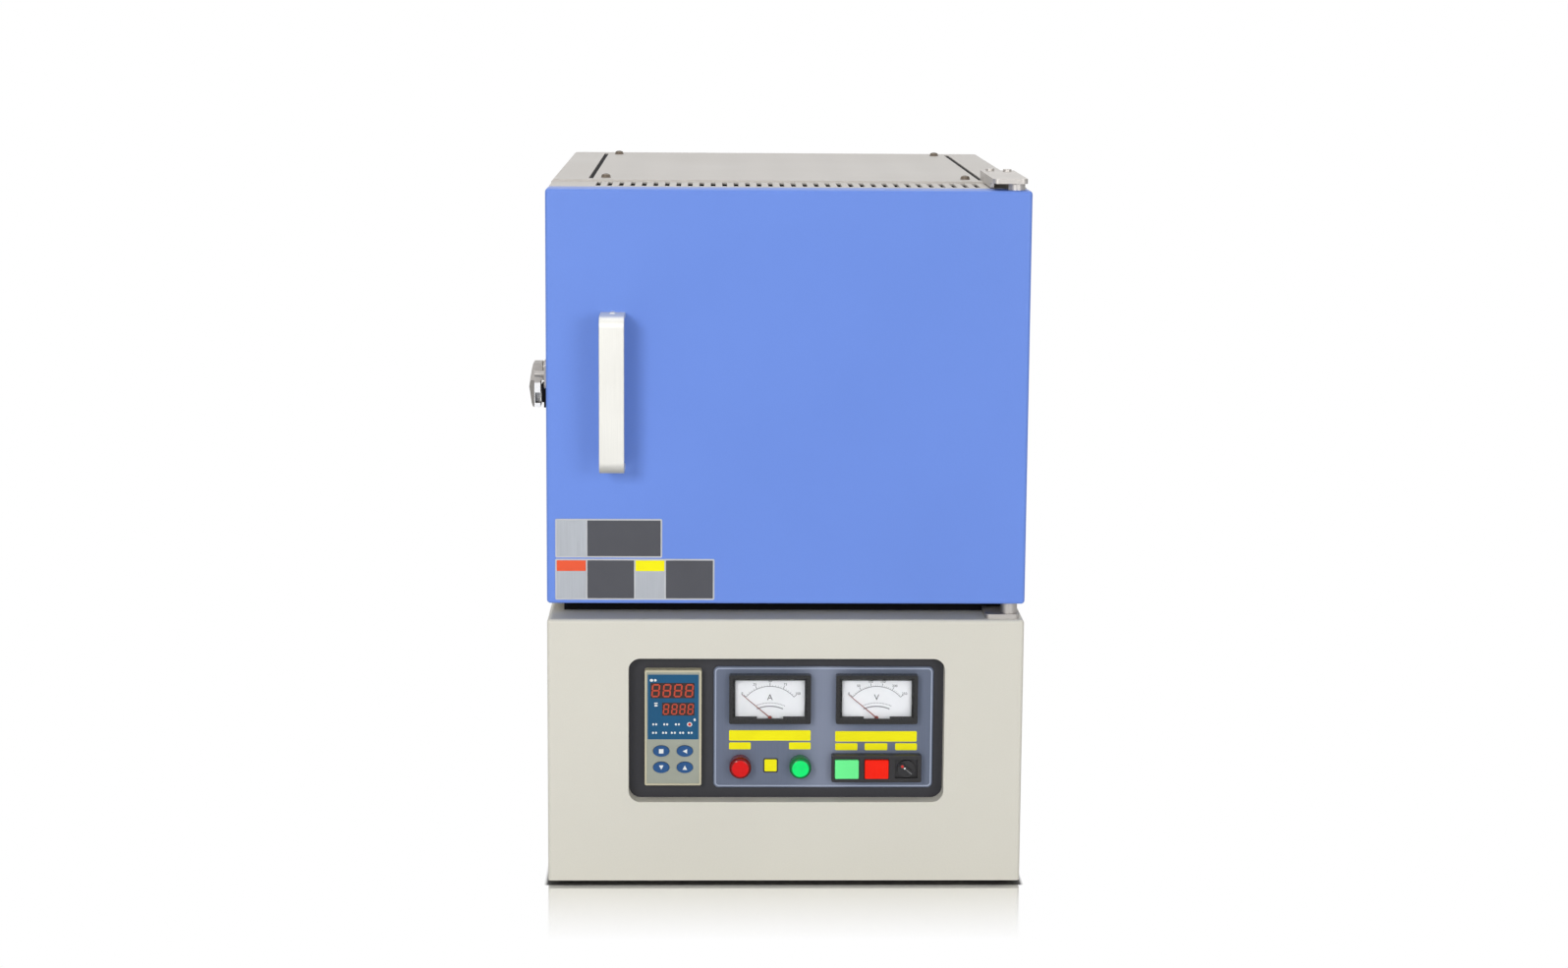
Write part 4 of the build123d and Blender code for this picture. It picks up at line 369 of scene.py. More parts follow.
def deck_plate(name, colour):
    """The cover's powder coat, with faint bands of painted light and shade from front to back."""
    material, tree, shader = open_material(name)
    coat = place_group(tree, POWDER_COAT, Colour=colour, Peel_Size=520.0, Peel_Depth=0.18, Cloud=0.01,
                       Roughness=0.42, Edge_Lift=0.05, Edge_Radius=1.2 * MM)
    where = add(tree, "TexCoord").outputs["Object"]
    # Faint bands of painted light and shade across the cover
    bands = add(tree, "TexWave", {"Vector": where, "Scale": 7.0, "Distortion": 0.6,
                                  "Detail Scale": 0.4}, bands_direction="X").outputs["Fac"]
    value = add(tree, "MapRange", {"Value": bands, "To Min": 0.975, "To Max": 1.01}).outputs["Result"]
    tree.links.new(brighter(tree, coat["Colour"], value), shader.inputs["Base Color"])
    tree.links.new(coat["Roughness"], shader.inputs["Roughness"])
    tree.links.new(coat["Normal"], shader.inputs["Normal"])
    return material


# The latch arm's nose: painted highlight below this height, on the face that points forward
NOSE_TOP = 424.5 * MM
NOSE_FADE = 1.0 * MM


def zinc_with_painted_highlight(name, colour, bright):
    """Cast zinc, blasted all over, with a painted highlight on the forward-facing front of the arm's nose.
    """
    material, tree, shader = open_material(name, Metallic=0.85)
    cast = place_group(tree, MOULDING, Colour=colour, Grain_Size=700.0, Depth=0.15, Roughness=0.42,
                       Edge_Lift=0.12, Edge_Radius=0.5 * MM)
    spots = add(tree, "TexCoord").outputs
    forward = add(tree, "VectorMath", {0: spots["Normal"], 1: (0.0, -1.0, 0.0)},
                  operation="DOT_PRODUCT").outputs["Value"]
    forward = add(tree, "MapRange", {"Value": forward, "From Min": 0.8, "From Max": 0.95}).outputs["Result"]
    height = add(tree, "SeparateXYZ", {"Vector": spots["Object"]}).outputs["Z"]
    low = add(tree, "MapRange", {"Value": height, "From Min": NOSE_TOP, "From Max": NOSE_TOP - NOSE_FADE})
    share = add(tree, "Math", {0: forward, 1: low.outputs["Result"]}, operation="MULTIPLY").outputs[0]
    # Painted highlight: the light colour on the forward-facing front of the nose
    mixed = add(tree, "Mix", {0: share, 6: cast["Colour"], 7: bright}, data_type="RGBA").outputs[2]
    tree.links.new(mixed, shader.inputs["Base Color"])
    tree.links.new(cast["Roughness"], shader.inputs["Roughness"])
    tree.links.new(cast["Normal"], shader.inputs["Normal"])
    return material


def plate_with_painted_sheen(name, colour, bright, middle, reach, lines):
    """Anodised plate with a painted sheen: a soft light band from top to bottom round the middle."""
    material, tree, shader = open_material(name, Metallic=0.35)
    metal = place_group(tree, BRUSHED, Colour=colour, Lines=lines, Depth=0.05, Roughness=0.5,
                        Smudge=0.015)
    where = add(tree, "TexCoord").outputs["Object"]
    x = add(tree, "SeparateXYZ", {"Vector": where}).outputs["X"]
    away = add(tree, "Math", {0: x, 1: middle}, operation="SUBTRACT").outputs[0]
    away = add(tree, "Math", {0: away}, operation="ABSOLUTE").outputs[0]
    near = add(tree, "MapRange", {"Value": away, "From Min": reach, "From Max": 0.0},
               interpolation_type="SMOOTHSTEP").outputs["Result"]
    # Painted sheen: the light colour mixed in round the middle
    mixed = add(tree, "Mix", {0: near, 6: metal["Colour"], 7: bright}, data_type="RGBA").outputs[2]
    tree.links.new(mixed, shader.inputs["Base Color"])
    tree.links.new(metal["Roughness"], shader.inputs["Roughness"])
    tree.links.new(metal["Normal"], shader.inputs["Normal"])
    return material


# Lines of brushed metals: many to the metre across the grain, few along it
LINES_UP = (1800.0, 1800.0, 22.0)
LINES_ALONG = (1800.0, 22.0, 1800.0)

# Painted edge light: the door and the base take painted shade along their edges, the other finishes a
# painted highlight
DOOR_BLUE = powder_coated("door_blue_powder_coat", srgb(106, 143, 230), roughness=0.4, peel_size=430.0,
                          peel_depth=0.2, cloud=0.014, painted_edge_light=-0.16, edge_radius=0.9 * MM)
BASE_BEIGE = powder_coated("base_beige_powder_coat", srgb(222, 219, 207), painted_edge_light=-0.05)
CABINET_GREY = powder_coated("cabinet_grey_powder_coat", srgb(206, 201, 195))
COVER_GREY = deck_plate("cover_grey_powder_coat", srgb(206, 201, 195))
PANEL_BLACK = powder_coated("control_panel_black", srgb(44, 44, 50), roughness=0.5, peel_size=900.0,
                            peel_depth=0.12, painted_edge_light=0.3)
PLATE_BLUE_GREY = plate_with_painted_sheen("instrument_plate_blue_grey", srgb(105, 114, 134), srgb(132, 140, 160),
                          32.0 * MM, 34.0 * MM, LINES_UP)
PLATE_EDGE_HIGHLIGHT = moulded("instrument_plate_painted_highlight", srgb(168, 178, 200), roughness=0.4)
GALVANISED = brushed("galvanised_sheet", srgb(165, 168, 170), LINES_ALONG, depth=0.1, roughness=0.48,
                     smudge=0.08)
RAIL_DARK = brushed("rail_dark_steel", srgb(60, 61, 64), LINES_ALONG, roughness=0.5)
INNER_STEEL = brushed("inner_steel_sheet", srgb(182, 181, 178), LINES_UP, roughness=0.38, smudge=0.05)
BRIGHT_STEEL = brushed("hinge_bright_steel", srgb(184, 180, 176), LINES_ALONG, roughness=0.45)
HANDLE_SATIN = brushed("handle_satin_aluminium", srgb(216, 215, 210), LINES_UP, depth=0.06,
                       roughness=0.58, smudge=0.02)
CAST_ZINC = zinc_with_painted_highlight("latch_cast_zinc", srgb(170, 166, 162), srgb(240, 240, 240))
SCREW_STEEL = moulded("screw_plated_steel", srgb(112, 102, 92), roughness=0.26, painted_edge_light=0.3,
                      Metallic=1.0)
BEZEL_BEIGE = moulded("controller_beige_plastic", srgb(202, 196, 170), roughness=0.42, painted_edge_light=0.12)
FACE_GREY = moulded("controller_face_grey", srgb(160, 164, 151), roughness=0.5, grain_size=2500.0)
FILM_BLUE = moulded("controller_blue_film", srgb(20, 86, 126), roughness=0.35, depth=0.05,
                    Specular_IOR_Level=0.3)
SMOKED = moulded("digit_smoked_window", srgb(58, 44, 42), roughness=0.3, depth=0.03,
                 Specular_IOR_Level=0.3)
DIGIT_RED = moulded("digit_red", srgb(198, 68, 40), roughness=0.35, depth=0.03)
KEY_BLUE = moulded("key_blue_rubber", srgb(18, 78, 134), roughness=0.32, depth=0.06, painted_edge_light=0.25)
MARK_WHITE = moulded("mark_white_ink", srgb(236, 238, 236), roughness=0.5, depth=0.04)
MARK_RED = moulded("mark_red_ink", srgb(210, 40, 34), roughness=0.4, depth=0.04)
METER_BLACK = moulded("meter_black_plastic", srgb(30, 30, 31), roughness=0.28, depth=0.06,
                      painted_edge_light=0.5)
DIAL_WHITE = moulded("dial_white_card", srgb(251, 251, 250), roughness=0.6, depth=0.05)
DIAL_INK = moulded("dial_black_ink", srgb(58, 58, 60), roughness=0.6, depth=0.03)
DIAL_GREY = moulded("dial_grey_ink", srgb(138, 138, 140), roughness=0.6, depth=0.03)
NEEDLE_RED = moulded("needle_red_brown", srgb(142, 62, 52), roughness=0.4, depth=0.03)
PANE = clear_pane("meter_clear_pane")
LENS_RED = lamp_lens("lamp_red_lens", srgb(226, 0, 0), srgb(120, 0, 0), "red_lamp")
LENS_GREEN = lamp_lens("lamp_green_lens", srgb(0, 252, 124), srgb(0, 120, 60), "green_lamp")
BUTTON_GREEN = moulded("button_green_plastic", srgb(114, 254, 152), roughness=0.3, depth=0.05,
                       Specular_IOR_Level=0.25)
BUTTON_RED = moulded("button_red_plastic", srgb(255, 30, 0), roughness=0.3, depth=0.05,
                     Specular_IOR_Level=0.2)
SWITCH_BLACK = moulded("switch_black_plastic", srgb(36, 35, 37), roughness=0.38, painted_edge_light=0.5)
BLACK_PLASTIC = moulded("black_plastic", srgb(34, 34, 36), roughness=0.5)
# Black for the pieces that stand for shade in gaps and behind slots
SHADE_BLACK = moulded("painted_shade_black", srgb(14, 14, 18), roughness=0.8, Specular_IOR_Level=0.15)
RUBBER = moulded("foot_black_rubber", srgb(30, 30, 31), roughness=0.75, grain_size=900.0)
STRIP_YELLOW = moulded("strip_yellow_print", srgb(255, 246, 0), roughness=0.5, depth=0.04,
                       Specular_IOR_Level=0.25)
LABEL_SILVER = brushed("label_silver_foil", srgb(178, 182, 188), LINES_UP, depth=0.04, roughness=0.4)
LABEL_BORDER = moulded("label_light_border", srgb(196, 198, 202), roughness=0.35)
LABEL_DARK = moulded("label_dark_print", srgb(72, 73, 80), roughness=0.45, depth=0.05)
LABEL_ORANGE = moulded("label_orange_print", srgb(240, 86, 40), roughness=0.45, depth=0.05)
WOOL = ceramic_fibre("ceramic_fibre_white", srgb(238, 235, 226), srgb(222, 212, 192))
ALUMINA = ceramic_fibre("alumina_plate", srgb(236, 230, 216), srgb(214, 200, 176), depth=0.15)
ELEMENT_GREY = moulded("element_glassy_grey", srgb(98, 96, 95), roughness=0.3, grain_size=400.0)
BRAID = brushed("strap_braided_aluminium", srgb(200, 201, 203), LINES_ALONG, depth=0.6, roughness=0.45)
CORE_IRON = laminated("core_laminations", srgb(74, 76, 80))
COIL_COPPER = wound_copper("coil_copper_winding", srgb(158, 92, 46))
SINK_GREY = brushed("heat_sink_extruded", srgb(178, 181, 185), LINES_ALONG, roughness=0.4)

NODE_FINISH = {
    "base_shell": BASE_BEIGE, "base_rear_cover": BASE_BEIGE, "base_floor": GALVANISED, "feet": RUBBER,
    "control_panel": PANEL_BLACK, "instrument_plate": PLATE_BLUE_GREY,
    "controller_case": BEZEL_BEIGE, "controller_face": FACE_GREY,
    "set_key": KEY_BLUE, "shift_key": KEY_BLUE, "down_key": KEY_BLUE, "up_key": KEY_BLUE,
    "meter_cases": METER_BLACK, "meter_dials": DIAL_WHITE, "meter_windows": PANE,
    "ammeter_needle": NEEDLE_RED, "voltmeter_needle": NEEDLE_RED,
    "red_lamp": LENS_RED, "green_lamp": LENS_GREEN, "lamp_bodies": BLACK_PLASTIC,
    "switch_frame": SWITCH_BLACK, "start_button": BUTTON_GREEN, "stop_button": BUTTON_RED,
    "selector_knob": SWITCH_BLACK,
    "transformer_core": CORE_IRON, "transformer_coils": COIL_COPPER, "heat_sink": SINK_GREY,
    "power_module": BLACK_PLASTIC, "terminal_block": BLACK_PLASTIC,
    "fan_housing": BLACK_PLASTIC, "fan_rotor": BLACK_PLASTIC, "fan_guard": BRIGHT_STEEL,
    "power_gland": BLACK_PLASTIC,
    "cabinet_rails": RAIL_DARK, "front_frame": CABINET_GREY, "cabinet_shell": CABINET_GREY,
    "top_cover": COVER_GREY, "cabinet_floor": GALVANISED, "cabinet_rear": CABINET_GREY,
    "panel_screws": SCREW_STEEL,
    "inner_case": INNER_STEEL, "insulation": WOOL, "hearth_plate": ALUMINA, "element_bricks": ALUMINA,
    "heating_elements": ELEMENT_GREY, "element_clips": ALUMINA, "element_straps": BRAID,
    "thermocouple": ALUMINA,
    "door_shell": DOOR_BLUE, "door_liner": INNER_STEEL, "door_plug": WOOL, "door_handle": HANDLE_SATIN,
    "handle_screws": SCREW_STEEL, "hinge_pins": BRIGHT_STEEL, "upper_hinge_bracket": BRIGHT_STEEL,
    "lower_hinge_bracket": BRIGHT_STEEL, "hinge_screws": BRIGHT_STEEL,
    "latch_base": CAST_ZINC, "latch_lever": CAST_ZINC, "latch_keeper": CAST_ZINC,
}
for node_name, cad_object in NODES.items():
    cad_object.data.materials.clear()
    cad_object.data.materials.append(NODE_FINISH[node_name])


# Flat shapes, seen from the front: lists of (x, z) points in metres


def rounded_outline(x, z, width, height, radius, steps=5):
    """A rectangle round (x, z) with rounded corners."""
    points = []
    for corner, (sx, sz) in enumerate(((1, 1), (-1, 1), (-1, -1), (1, -1))):
        mid_x = x + sx * (width / 2 - radius)
        mid_z = z + sz * (height / 2 - radius)
        for i in range(steps + 1):
            turn = radians(90 * corner + 90 * i / steps)
            points.append((mid_x + radius * cos(turn), mid_z + radius * sin(turn)))
    return points


def between(x_lo, x_hi, z_lo, z_hi, radius=0.0005):
    """A rounded rectangle between two corners."""
    return rounded_outline((x_lo + x_hi) / 2, (z_lo + z_hi) / 2, x_hi - x_lo, z_hi - z_lo, radius)


def oval_outline(x, z, half_w, half_h, steps=28):
    return [(x + half_w * cos(2 * pi * i / steps), z + half_h * sin(2 * pi * i / steps))
            for i in range(steps)]


def arc_outline(x, z, radius, width, start, end, steps):
    """A band along an arc round (x, z). Angles are in degrees from straight up, positive to the right."""
    turns = [radians(start + (end - start) * i / steps) for i in range(steps + 1)]
    outer = [(x + (radius + width / 2) * sin(t), z + (radius + width / 2) * cos(t)) for t in turns]
    inner = [(x + (radius - width / 2) * sin(t), z + (radius - width / 2) * cos(t)) for t in turns]
    return outer + inner[::-1]


def tick_outline(x, z, inner, outer, width, angle):
    """A short bar that points away from (x, z)."""
    turn = radians(angle)
    along = Vector((sin(turn), cos(turn)))
    across = Vector((cos(turn), -sin(turn))) * width / 2
    middle = Vector((x, z))
    return [tuple(middle + along * inner + across), tuple(middle + along * inner - across),
            tuple(middle + along * outer - across), tuple(middle + along * outer + across)]


def slanted(points, z, lean):
    """The points leaned to the right about z, as the strokes of a leaning digit are."""
    return [(px + (pz - z) * lean, pz) for px, pz in points]


# Meshes


def add_plate(mesh, points, y_front, depth, material=0):
    """A closed plate with that outline in X and Z, from y_front backwards."""
    front = [mesh.verts.new((x, y_front, z)) for x, z in points]
    back = [mesh.verts.new((x, y_front + depth, z)) for x, z in points]
    faces = [mesh.faces.new(front), mesh.faces.new(back[::-1])]
    for i in range(len(points)):
        j = (i + 1) % len(points)
        faces.append(mesh.faces.new((front[j], front[i], back[i], back[j])))
    for face in faces:
        face.material_index = material


def add_ring(mesh, outer, inner, y_front, depth, material=0):
    """A closed flat ring between two outlines with as many points each."""
    loops = [[mesh.verts.new((x, y, z)) for x, z in points]
             for points, y in ((outer, y_front), (inner, y_front), (inner, y_front + depth),
                               (outer, y_front + depth))]
    count = len(outer)
    for a, b in ((0, 1), (1, 2), (2, 3), (3, 0)):
        for i in range(count):
            j = (i + 1) % count
            face = mesh.faces.new((loops[a][i], loops[b][i], loops[b][j], loops[a][j]))
            face.material_index = material


# Height of a capital as a share of the font's size
CAPITAL_SHARE = 0.7


def add_lettering(mesh, text, x, z, height, y_front, depth, material=0):
    """Raised figures centred on (x, z), that face the front."""
    curve = bpy.data.curves.new("lettering", "FONT")
    curve.body = text
    curve.size = height / CAPITAL_SHARE
    curve.align_x = "CENTER"
    curve.align_y = "CENTER"
    curve.extrude = depth / 2
    curve.resolution_u = 4
    carrier = bpy.data.objects.new("lettering", curve)
    bpy.context.scene.collection.objects.link(carrier)
    shape = bpy.data.meshes.new_from_object(carrier)
    shape.transform(Matrix.Rotation(radians(90), 4, "X"))
    shape.transform(Matrix.Translation((x, y_front + depth / 2, z)))
    before = len(mesh.faces)
    mesh.from_mesh(shape)
    mesh.faces.ensure_lookup_table()
    for face in mesh.faces[before:]:
        face.material_index = material
    bpy.data.objects.remove(carrier)
    bpy.data.curves.remove(curve)
    bpy.data.meshes.remove(shape)


def make_piece(name, mesh, materials, body):
    """Turns the mesh into an object that rides on a body."""
    bmesh.ops.recalc_face_normals(mesh, faces=mesh.faces)
    data = bpy.data.meshes.new(name)
    mesh.to_mesh(data)
    mesh.free()
    for material in materials:
        data.materials.append(material)
    piece = bpy.data.objects.new(name, data)
    bpy.context.scene.collection.objects.link(piece)
    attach(piece, body)
    return piece


def front_of(node):
    """How far forward the node reaches."""
    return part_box(node)[0].y


def middle_of(node):
    low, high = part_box(node)
    return (low + high) / 2


# Labels at the door's lower left corner: bare plates
UPPER_LABEL = (-192.7 * MM, -103.8 * MM, 282.2 * MM, 315.0 * MM)
LOWER_LABEL = (-192.9 * MM, -60.2 * MM, 246.4 * MM, 281.2 * MM)
LABEL_RIM = 1.3 * MM
LABEL_CORNER_R = 1.2 * MM
LABEL_CELLS = (-166.7 * MM, -126.6 * MM, -101.3 * MM)
LABEL_HEADER_H = 9.0 * MM


def door_labels():
    door_front = front_of("door_shell")
    mesh = bmesh.new()
    for x_lo, x_hi, z_lo, z_hi in (UPPER_LABEL, LOWER_LABEL):
        add_plate(mesh, between(x_lo, x_hi, z_lo, z_hi, LABEL_CORNER_R), door_front - LABEL_T,
                  LABEL_T + SINK, 0)
    field_y = door_front - LABEL_T - PRINT_T
    cells = [(UPPER_LABEL[0], LABEL_CELLS[0], UPPER_LABEL, 1),
             (LABEL_CELLS[0], UPPER_LABEL[1], UPPER_LABEL, 2),
             (LOWER_LABEL[0], LABEL_CELLS[0], LOWER_LABEL, 1),
             (LABEL_CELLS[0], LABEL_CELLS[1], LOWER_LABEL, 2),
             (LABEL_CELLS[1], LABEL_CELLS[2], LOWER_LABEL, 1),
             (LABEL_CELLS[2], LOWER_LABEL[1], LOWER_LABEL, 2)]
    for x_lo, x_hi, label, material in cells:
        inset = LABEL_RIM / 2
        left = x_lo + (LABEL_RIM if x_lo == label[0] else inset)
        right = x_hi - (LABEL_RIM if x_hi == label[1] else inset)
        add_plate(mesh, between(left, right, label[2] + LABEL_RIM, label[3] - LABEL_RIM), field_y,
                  PRINT_T + SINK, material)
    for x_lo, x_hi, material in ((LOWER_LABEL[0] + LABEL_RIM, LABEL_CELLS[0] - LABEL_RIM / 2, 3),
                                 (LABEL_CELLS[1] + LABEL_RIM / 2, LABEL_CELLS[2] - LABEL_RIM / 2, 4)):
        top = LOWER_LABEL[3] - LABEL_RIM
        add_plate(mesh, between(x_lo, x_hi, top - LABEL_HEADER_H, top), field_y - PRINT_T,
                  PRINT_T + SINK, material)
    make_piece("door_labels", mesh, [LABEL_BORDER, LABEL_SILVER, LABEL_DARK, LABEL_ORANGE, STRIP_YELLOW],
               "door")


# Controller front: blue film, smoked windows with digits, indicator marks
FILM_W = 42.8 * MM
FILM_RISE = (-9.8 * MM, 46.2 * MM)
BIG_DIGIT = (7.0 * MM, 11.4 * MM, 1.35 * MM)
BIG_DIGIT_X = (-14.6 * MM, -5.2 * MM, 4.2 * MM, 13.6 * MM)
BIG_DIGIT_Z = 32.4 * MM
SMALL_DIGIT = (5.0 * MM, 9.4 * MM, 1.1 * MM)
SMALL_DIGIT_X = (-5.9 * MM, 1.1 * MM, 7.9 * MM, 14.7 * MM)
SMALL_DIGIT_Z = 16.4 * MM
DIGIT_LEAN = 0.09
STROKE_GAP = 0.12
INDICATOR_ROWS = (
    (3.2 * MM, (-15.5 * MM, -6.2 * MM, 3.6 * MM)),
    (-4.1 * MM, (-15.6 * MM, -7.2 * MM, 0.2 * MM, 7.2 * MM, 14.4 * MM)),
)
INDICATOR_SPLIT = 1.25 * MM
INDICATOR_HALF = (0.85 * MM, 0.95 * MM)
STATUS_LAMP = (13.9 * MM, 3.2 * MM)
STATUS_RING_HALF = (2.2 * MM, 1.9 * MM)
STATUS_DOT_HALF = (1.3 * MM, 1.4 * MM)
WINDOW_MARGIN = 0.9 * MM

# Small marks on the film: place, then half width and half height
FILM_MARKS = (
    (-18.2 * MM, 41.3 * MM, 1.5 * MM, 1.2 * MM), (-15.0 * MM, 41.3 * MM, 1.1 * MM, 1.1 * MM),
    (-14.4 * MM, 21.4 * MM, 1.7 * MM, 0.6 * MM), (-14.4 * MM, 19.4 * MM, 1.5 * MM, 0.8 * MM),
    (18.2 * MM, 7.2 * MM, 0.9 * MM, 1.2 * MM),
)


def digit_strokes(x, z, width, height, stroke):
    """The seven strokes of a display digit, each a long hexagon."""
    gap = STROKE_GAP * stroke
    half_w = width / 2 - stroke / 2
    half_h = height / 2 - stroke / 2
    across = [(x, z + s * half_h) for s in (1, 0, -1)]
    upright = [(x + sx * half_w, z + sz * half_h / 2) for sx in (-1, 1) for sz in (-1, 1)]
    shapes = []
    for mid_x, mid_z in across:
        reach = half_w - gap
        shapes.append([(mid_x - reach, mid_z), (mid_x - reach + stroke / 2, mid_z + stroke / 2),
                       (mid_x + reach - stroke / 2, mid_z + stroke / 2), (mid_x + reach, mid_z),
                       (mid_x + reach - stroke / 2, mid_z - stroke / 2),
                       (mid_x - reach + stroke / 2, mid_z - stroke / 2)])
    for mid_x, mid_z in upright:
        reach = half_h / 2 - gap
        shapes.append([(mid_x, mid_z + reach), (mid_x + stroke / 2, mid_z + reach - stroke / 2),
                       (mid_x + stroke / 2, mid_z - reach + stroke / 2), (mid_x, mid_z - reach),
                       (mid_x - stroke / 2, mid_z - reach + stroke / 2),
                       (mid_x - stroke / 2, mid_z + reach - stroke / 2)])
    return shapes


def controller_display():
    face_y = front_of("controller_face")
    middle = middle_of("controller_case")
    x0 = middle.x
    z0 = middle.z
    film_y = face_y - PRINT_T
    window_y = film_y - PRINT_T
    digit_y = window_y - PRINT_T
    mesh = bmesh.new()
    add_plate(mesh, between(x0 - FILM_W / 2, x0 + FILM_W / 2, z0 + FILM_RISE[0], z0 + FILM_RISE[1]),
              film_y, PRINT_T + SINK, 0)
    for digit, places, rise in ((BIG_DIGIT, BIG_DIGIT_X, BIG_DIGIT_Z),
                                (SMALL_DIGIT, SMALL_DIGIT_X, SMALL_DIGIT_Z)):
        width, height, stroke = digit
        add_plate(mesh, between(x0 + places[0] - width / 2 - WINDOW_MARGIN,
                                x0 + places[-1] + width / 2 + WINDOW_MARGIN,
                                z0 + rise - height / 2 - WINDOW_MARGIN,
                                z0 + rise + height / 2 + WINDOW_MARGIN), window_y, PRINT_T + SINK, 1)
        for place in places:
            for shape in digit_strokes(x0 + place, z0 + rise, width, height, stroke):
                add_plate(mesh, slanted(shape, z0 + rise, DIGIT_LEAN), digit_y, PRINT_T + SINK, 2)
    marks = [(x0 + place, z0 + rise) for rise, row in INDICATOR_ROWS for place in row]
    for mark_x, mark_z in marks:
        for side in (-1, 1):
            add_plate(mesh, oval_outline(mark_x + side * INDICATOR_SPLIT, mark_z, *INDICATOR_HALF, 12),
                      window_y, PRINT_T + SINK, 3)
    for mark_x, mark_z, half_w, half_h in FILM_MARKS:
        add_plate(mesh, oval_outline(x0 + mark_x, z0 + mark_z, half_w, half_h, 14), window_y,
                  PRINT_T + SINK, 3)
    lamp_x = x0 + STATUS_LAMP[0]
    lamp_z = z0 + STATUS_LAMP[1]
    add_plate(mesh, oval_outline(lamp_x, lamp_z, *STATUS_RING_HALF, 20), window_y, PRINT_T + SINK, 3)
    add_plate(mesh, oval_outline(lamp_x, lamp_z, *STATUS_DOT_HALF, 16), digit_y, PRINT_T + SINK, 4)
    make_piece("controller_display", mesh, [FILM_BLUE, SMOKED, DIGIT_RED, MARK_WHITE, MARK_RED],
               "furnace_body")


# Marks on the four keys: plain signs
KEY_MARK = 1.9 * MM


def key_marks():
    signs = {
        "set_key": [(-1, 1), (1, 1), (1, -1), (-1, -1)],
        "shift_key": [(-1, 0), (1, 1), (1, -1)],
        "down_key": [(-1, 1), (1, 1), (0, -1)],
        "up_key": [(-1, -1), (0, 1), (1, -1)],
    }
    for key, corners in signs.items():
        middle = middle_of(key)
        mesh = bmesh.new()
        points = [(middle.x + KEY_MARK * cx, middle.z + KEY_MARK * cz) for cx, cz in corners]
        add_plate(mesh, points, front_of(key) - PRINT_T, PRINT_T + SINK)
        make_piece(key + "_mark", mesh, [MARK_WHITE], key)


# Dials: scale, ticks and plain numbers on the white card
SCALE_R = 26.7 * MM
SCALE_HALF = 49.0
NUMBER_R = 31.2 * MM
NUMBER_H = 2.1 * MM
LOW_ARC_R = 27.0 * MM
LOW_ARC_DROP = 17.5 * MM
LOW_ARC_HALF = 24.0
UNIT_RISE = 17.0 * MM
UNIT_H = 5.0 * MM
PIVOT_UP = 1.6 * MM
SCALE_LINE_W = 0.35 * MM
LONG_TICK_L = 3.0 * MM
LONG_TICK_W = 0.4 * MM
SHORT_TICK_L = 1.5 * MM
SHORT_TICK_W = 0.22 * MM
SHORT_TICK_N = 5
LOW_ARC_W = 0.9 * MM
LOW_TICK_N = 20
LOW_TICK_IN = 2.6 * MM
LOW_TICK_OUT = 3.3 * MM
LOW_TICK_W = 0.6 * MM


def dial_print(name, unit, numbers, needle, needle_x):
    """The printed scale of one meter, centred on its needle's pivot."""
    print_y = front_of("meter_dials") - PRINT_T
    pivot_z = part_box(needle)[0].z + PIVOT_UP
    mesh = bmesh.new()
    depth = PRINT_T + SINK
    add_plate(mesh, arc_outline(needle_x, pivot_z, SCALE_R, SCALE_LINE_W, -SCALE_HALF, SCALE_HALF, 48),
              print_y, depth, 0)
    steps = len(numbers) - 1
    for i, number in enumerate(numbers):
        angle = -SCALE_HALF + 2 * SCALE_HALF * i / steps
        add_plate(mesh, tick_outline(needle_x, pivot_z, SCALE_R, SCALE_R + LONG_TICK_L, LONG_TICK_W,
                                     angle), print_y, depth, 0)
        turn = radians(angle)
        add_lettering(mesh, number, needle_x + NUMBER_R * sin(turn), pivot_z + NUMBER_R * cos(turn),
                      NUMBER_H, print_y, depth, 0)
    short_steps = steps * SHORT_TICK_N
    for i in range(short_steps + 1):
        angle = -SCALE_HALF + 2 * SCALE_HALF * i / short_steps
        add_plate(mesh, tick_outline(needle_x, pivot_z, SCALE_R, SCALE_R + SHORT_TICK_L, SHORT_TICK_W,
                                     angle), print_y, depth, 1)
    low_z = pivot_z - LOW_ARC_DROP
    add_plate(mesh, arc_outline(needle_x, low_z, LOW_ARC_R, LOW_ARC_W, -LOW_ARC_HALF, LOW_ARC_HALF, 24),
              print_y, depth, 1)
    for i in range(LOW_TICK_N + 1):
        angle = -LOW_ARC_HALF + 2 * LOW_ARC_HALF * i / LOW_TICK_N
        add_plate(mesh, tick_outline(needle_x, low_z, LOW_ARC_R + LOW_TICK_IN, LOW_ARC_R + LOW_TICK_OUT,
                                     LOW_TICK_W, angle), print_y, depth, 1)
    add_lettering(mesh, unit, needle_x, pivot_z + UNIT_RISE, UNIT_H, print_y, depth, 0)
    make_piece(name, mesh, [DIAL_INK, DIAL_GREY], "furnace_body")


# Yellow strips and small plates on the instrument plate, all bare: x range and z range
YELLOW_STRIPS = (
    (-47.3, 21.8, 122.0, 131.0), (42.6, 111.8, 121.2, 130.2),
    (-47.3, -28.9, 114.4, 120.4), (3.5, 21.9, 114.4, 120.4),
    (42.7, 61.6, 113.7, 119.7), (67.7, 87.0, 113.7, 119.7), (93.6, 112.1, 113.7, 119.7),
)
PLAIN_SIGN = (-12.0 * MM, 100.4 * MM, 12.6 * MM)
# A light line just inside the plate's edge: the painted highlight of its rounded edge
BORDER_IN = 1.3 * MM
BORDER_W = 1.0 * MM
BORDER_R = 3.4 * MM
BORDER_INNER_R = 2.6 * MM
STRIP_R = 1.0 * MM
SIGN_R = 1.6 * MM
SIGN_RIM = 1.1 * MM
SIGN_INNER_R = 1.0 * MM


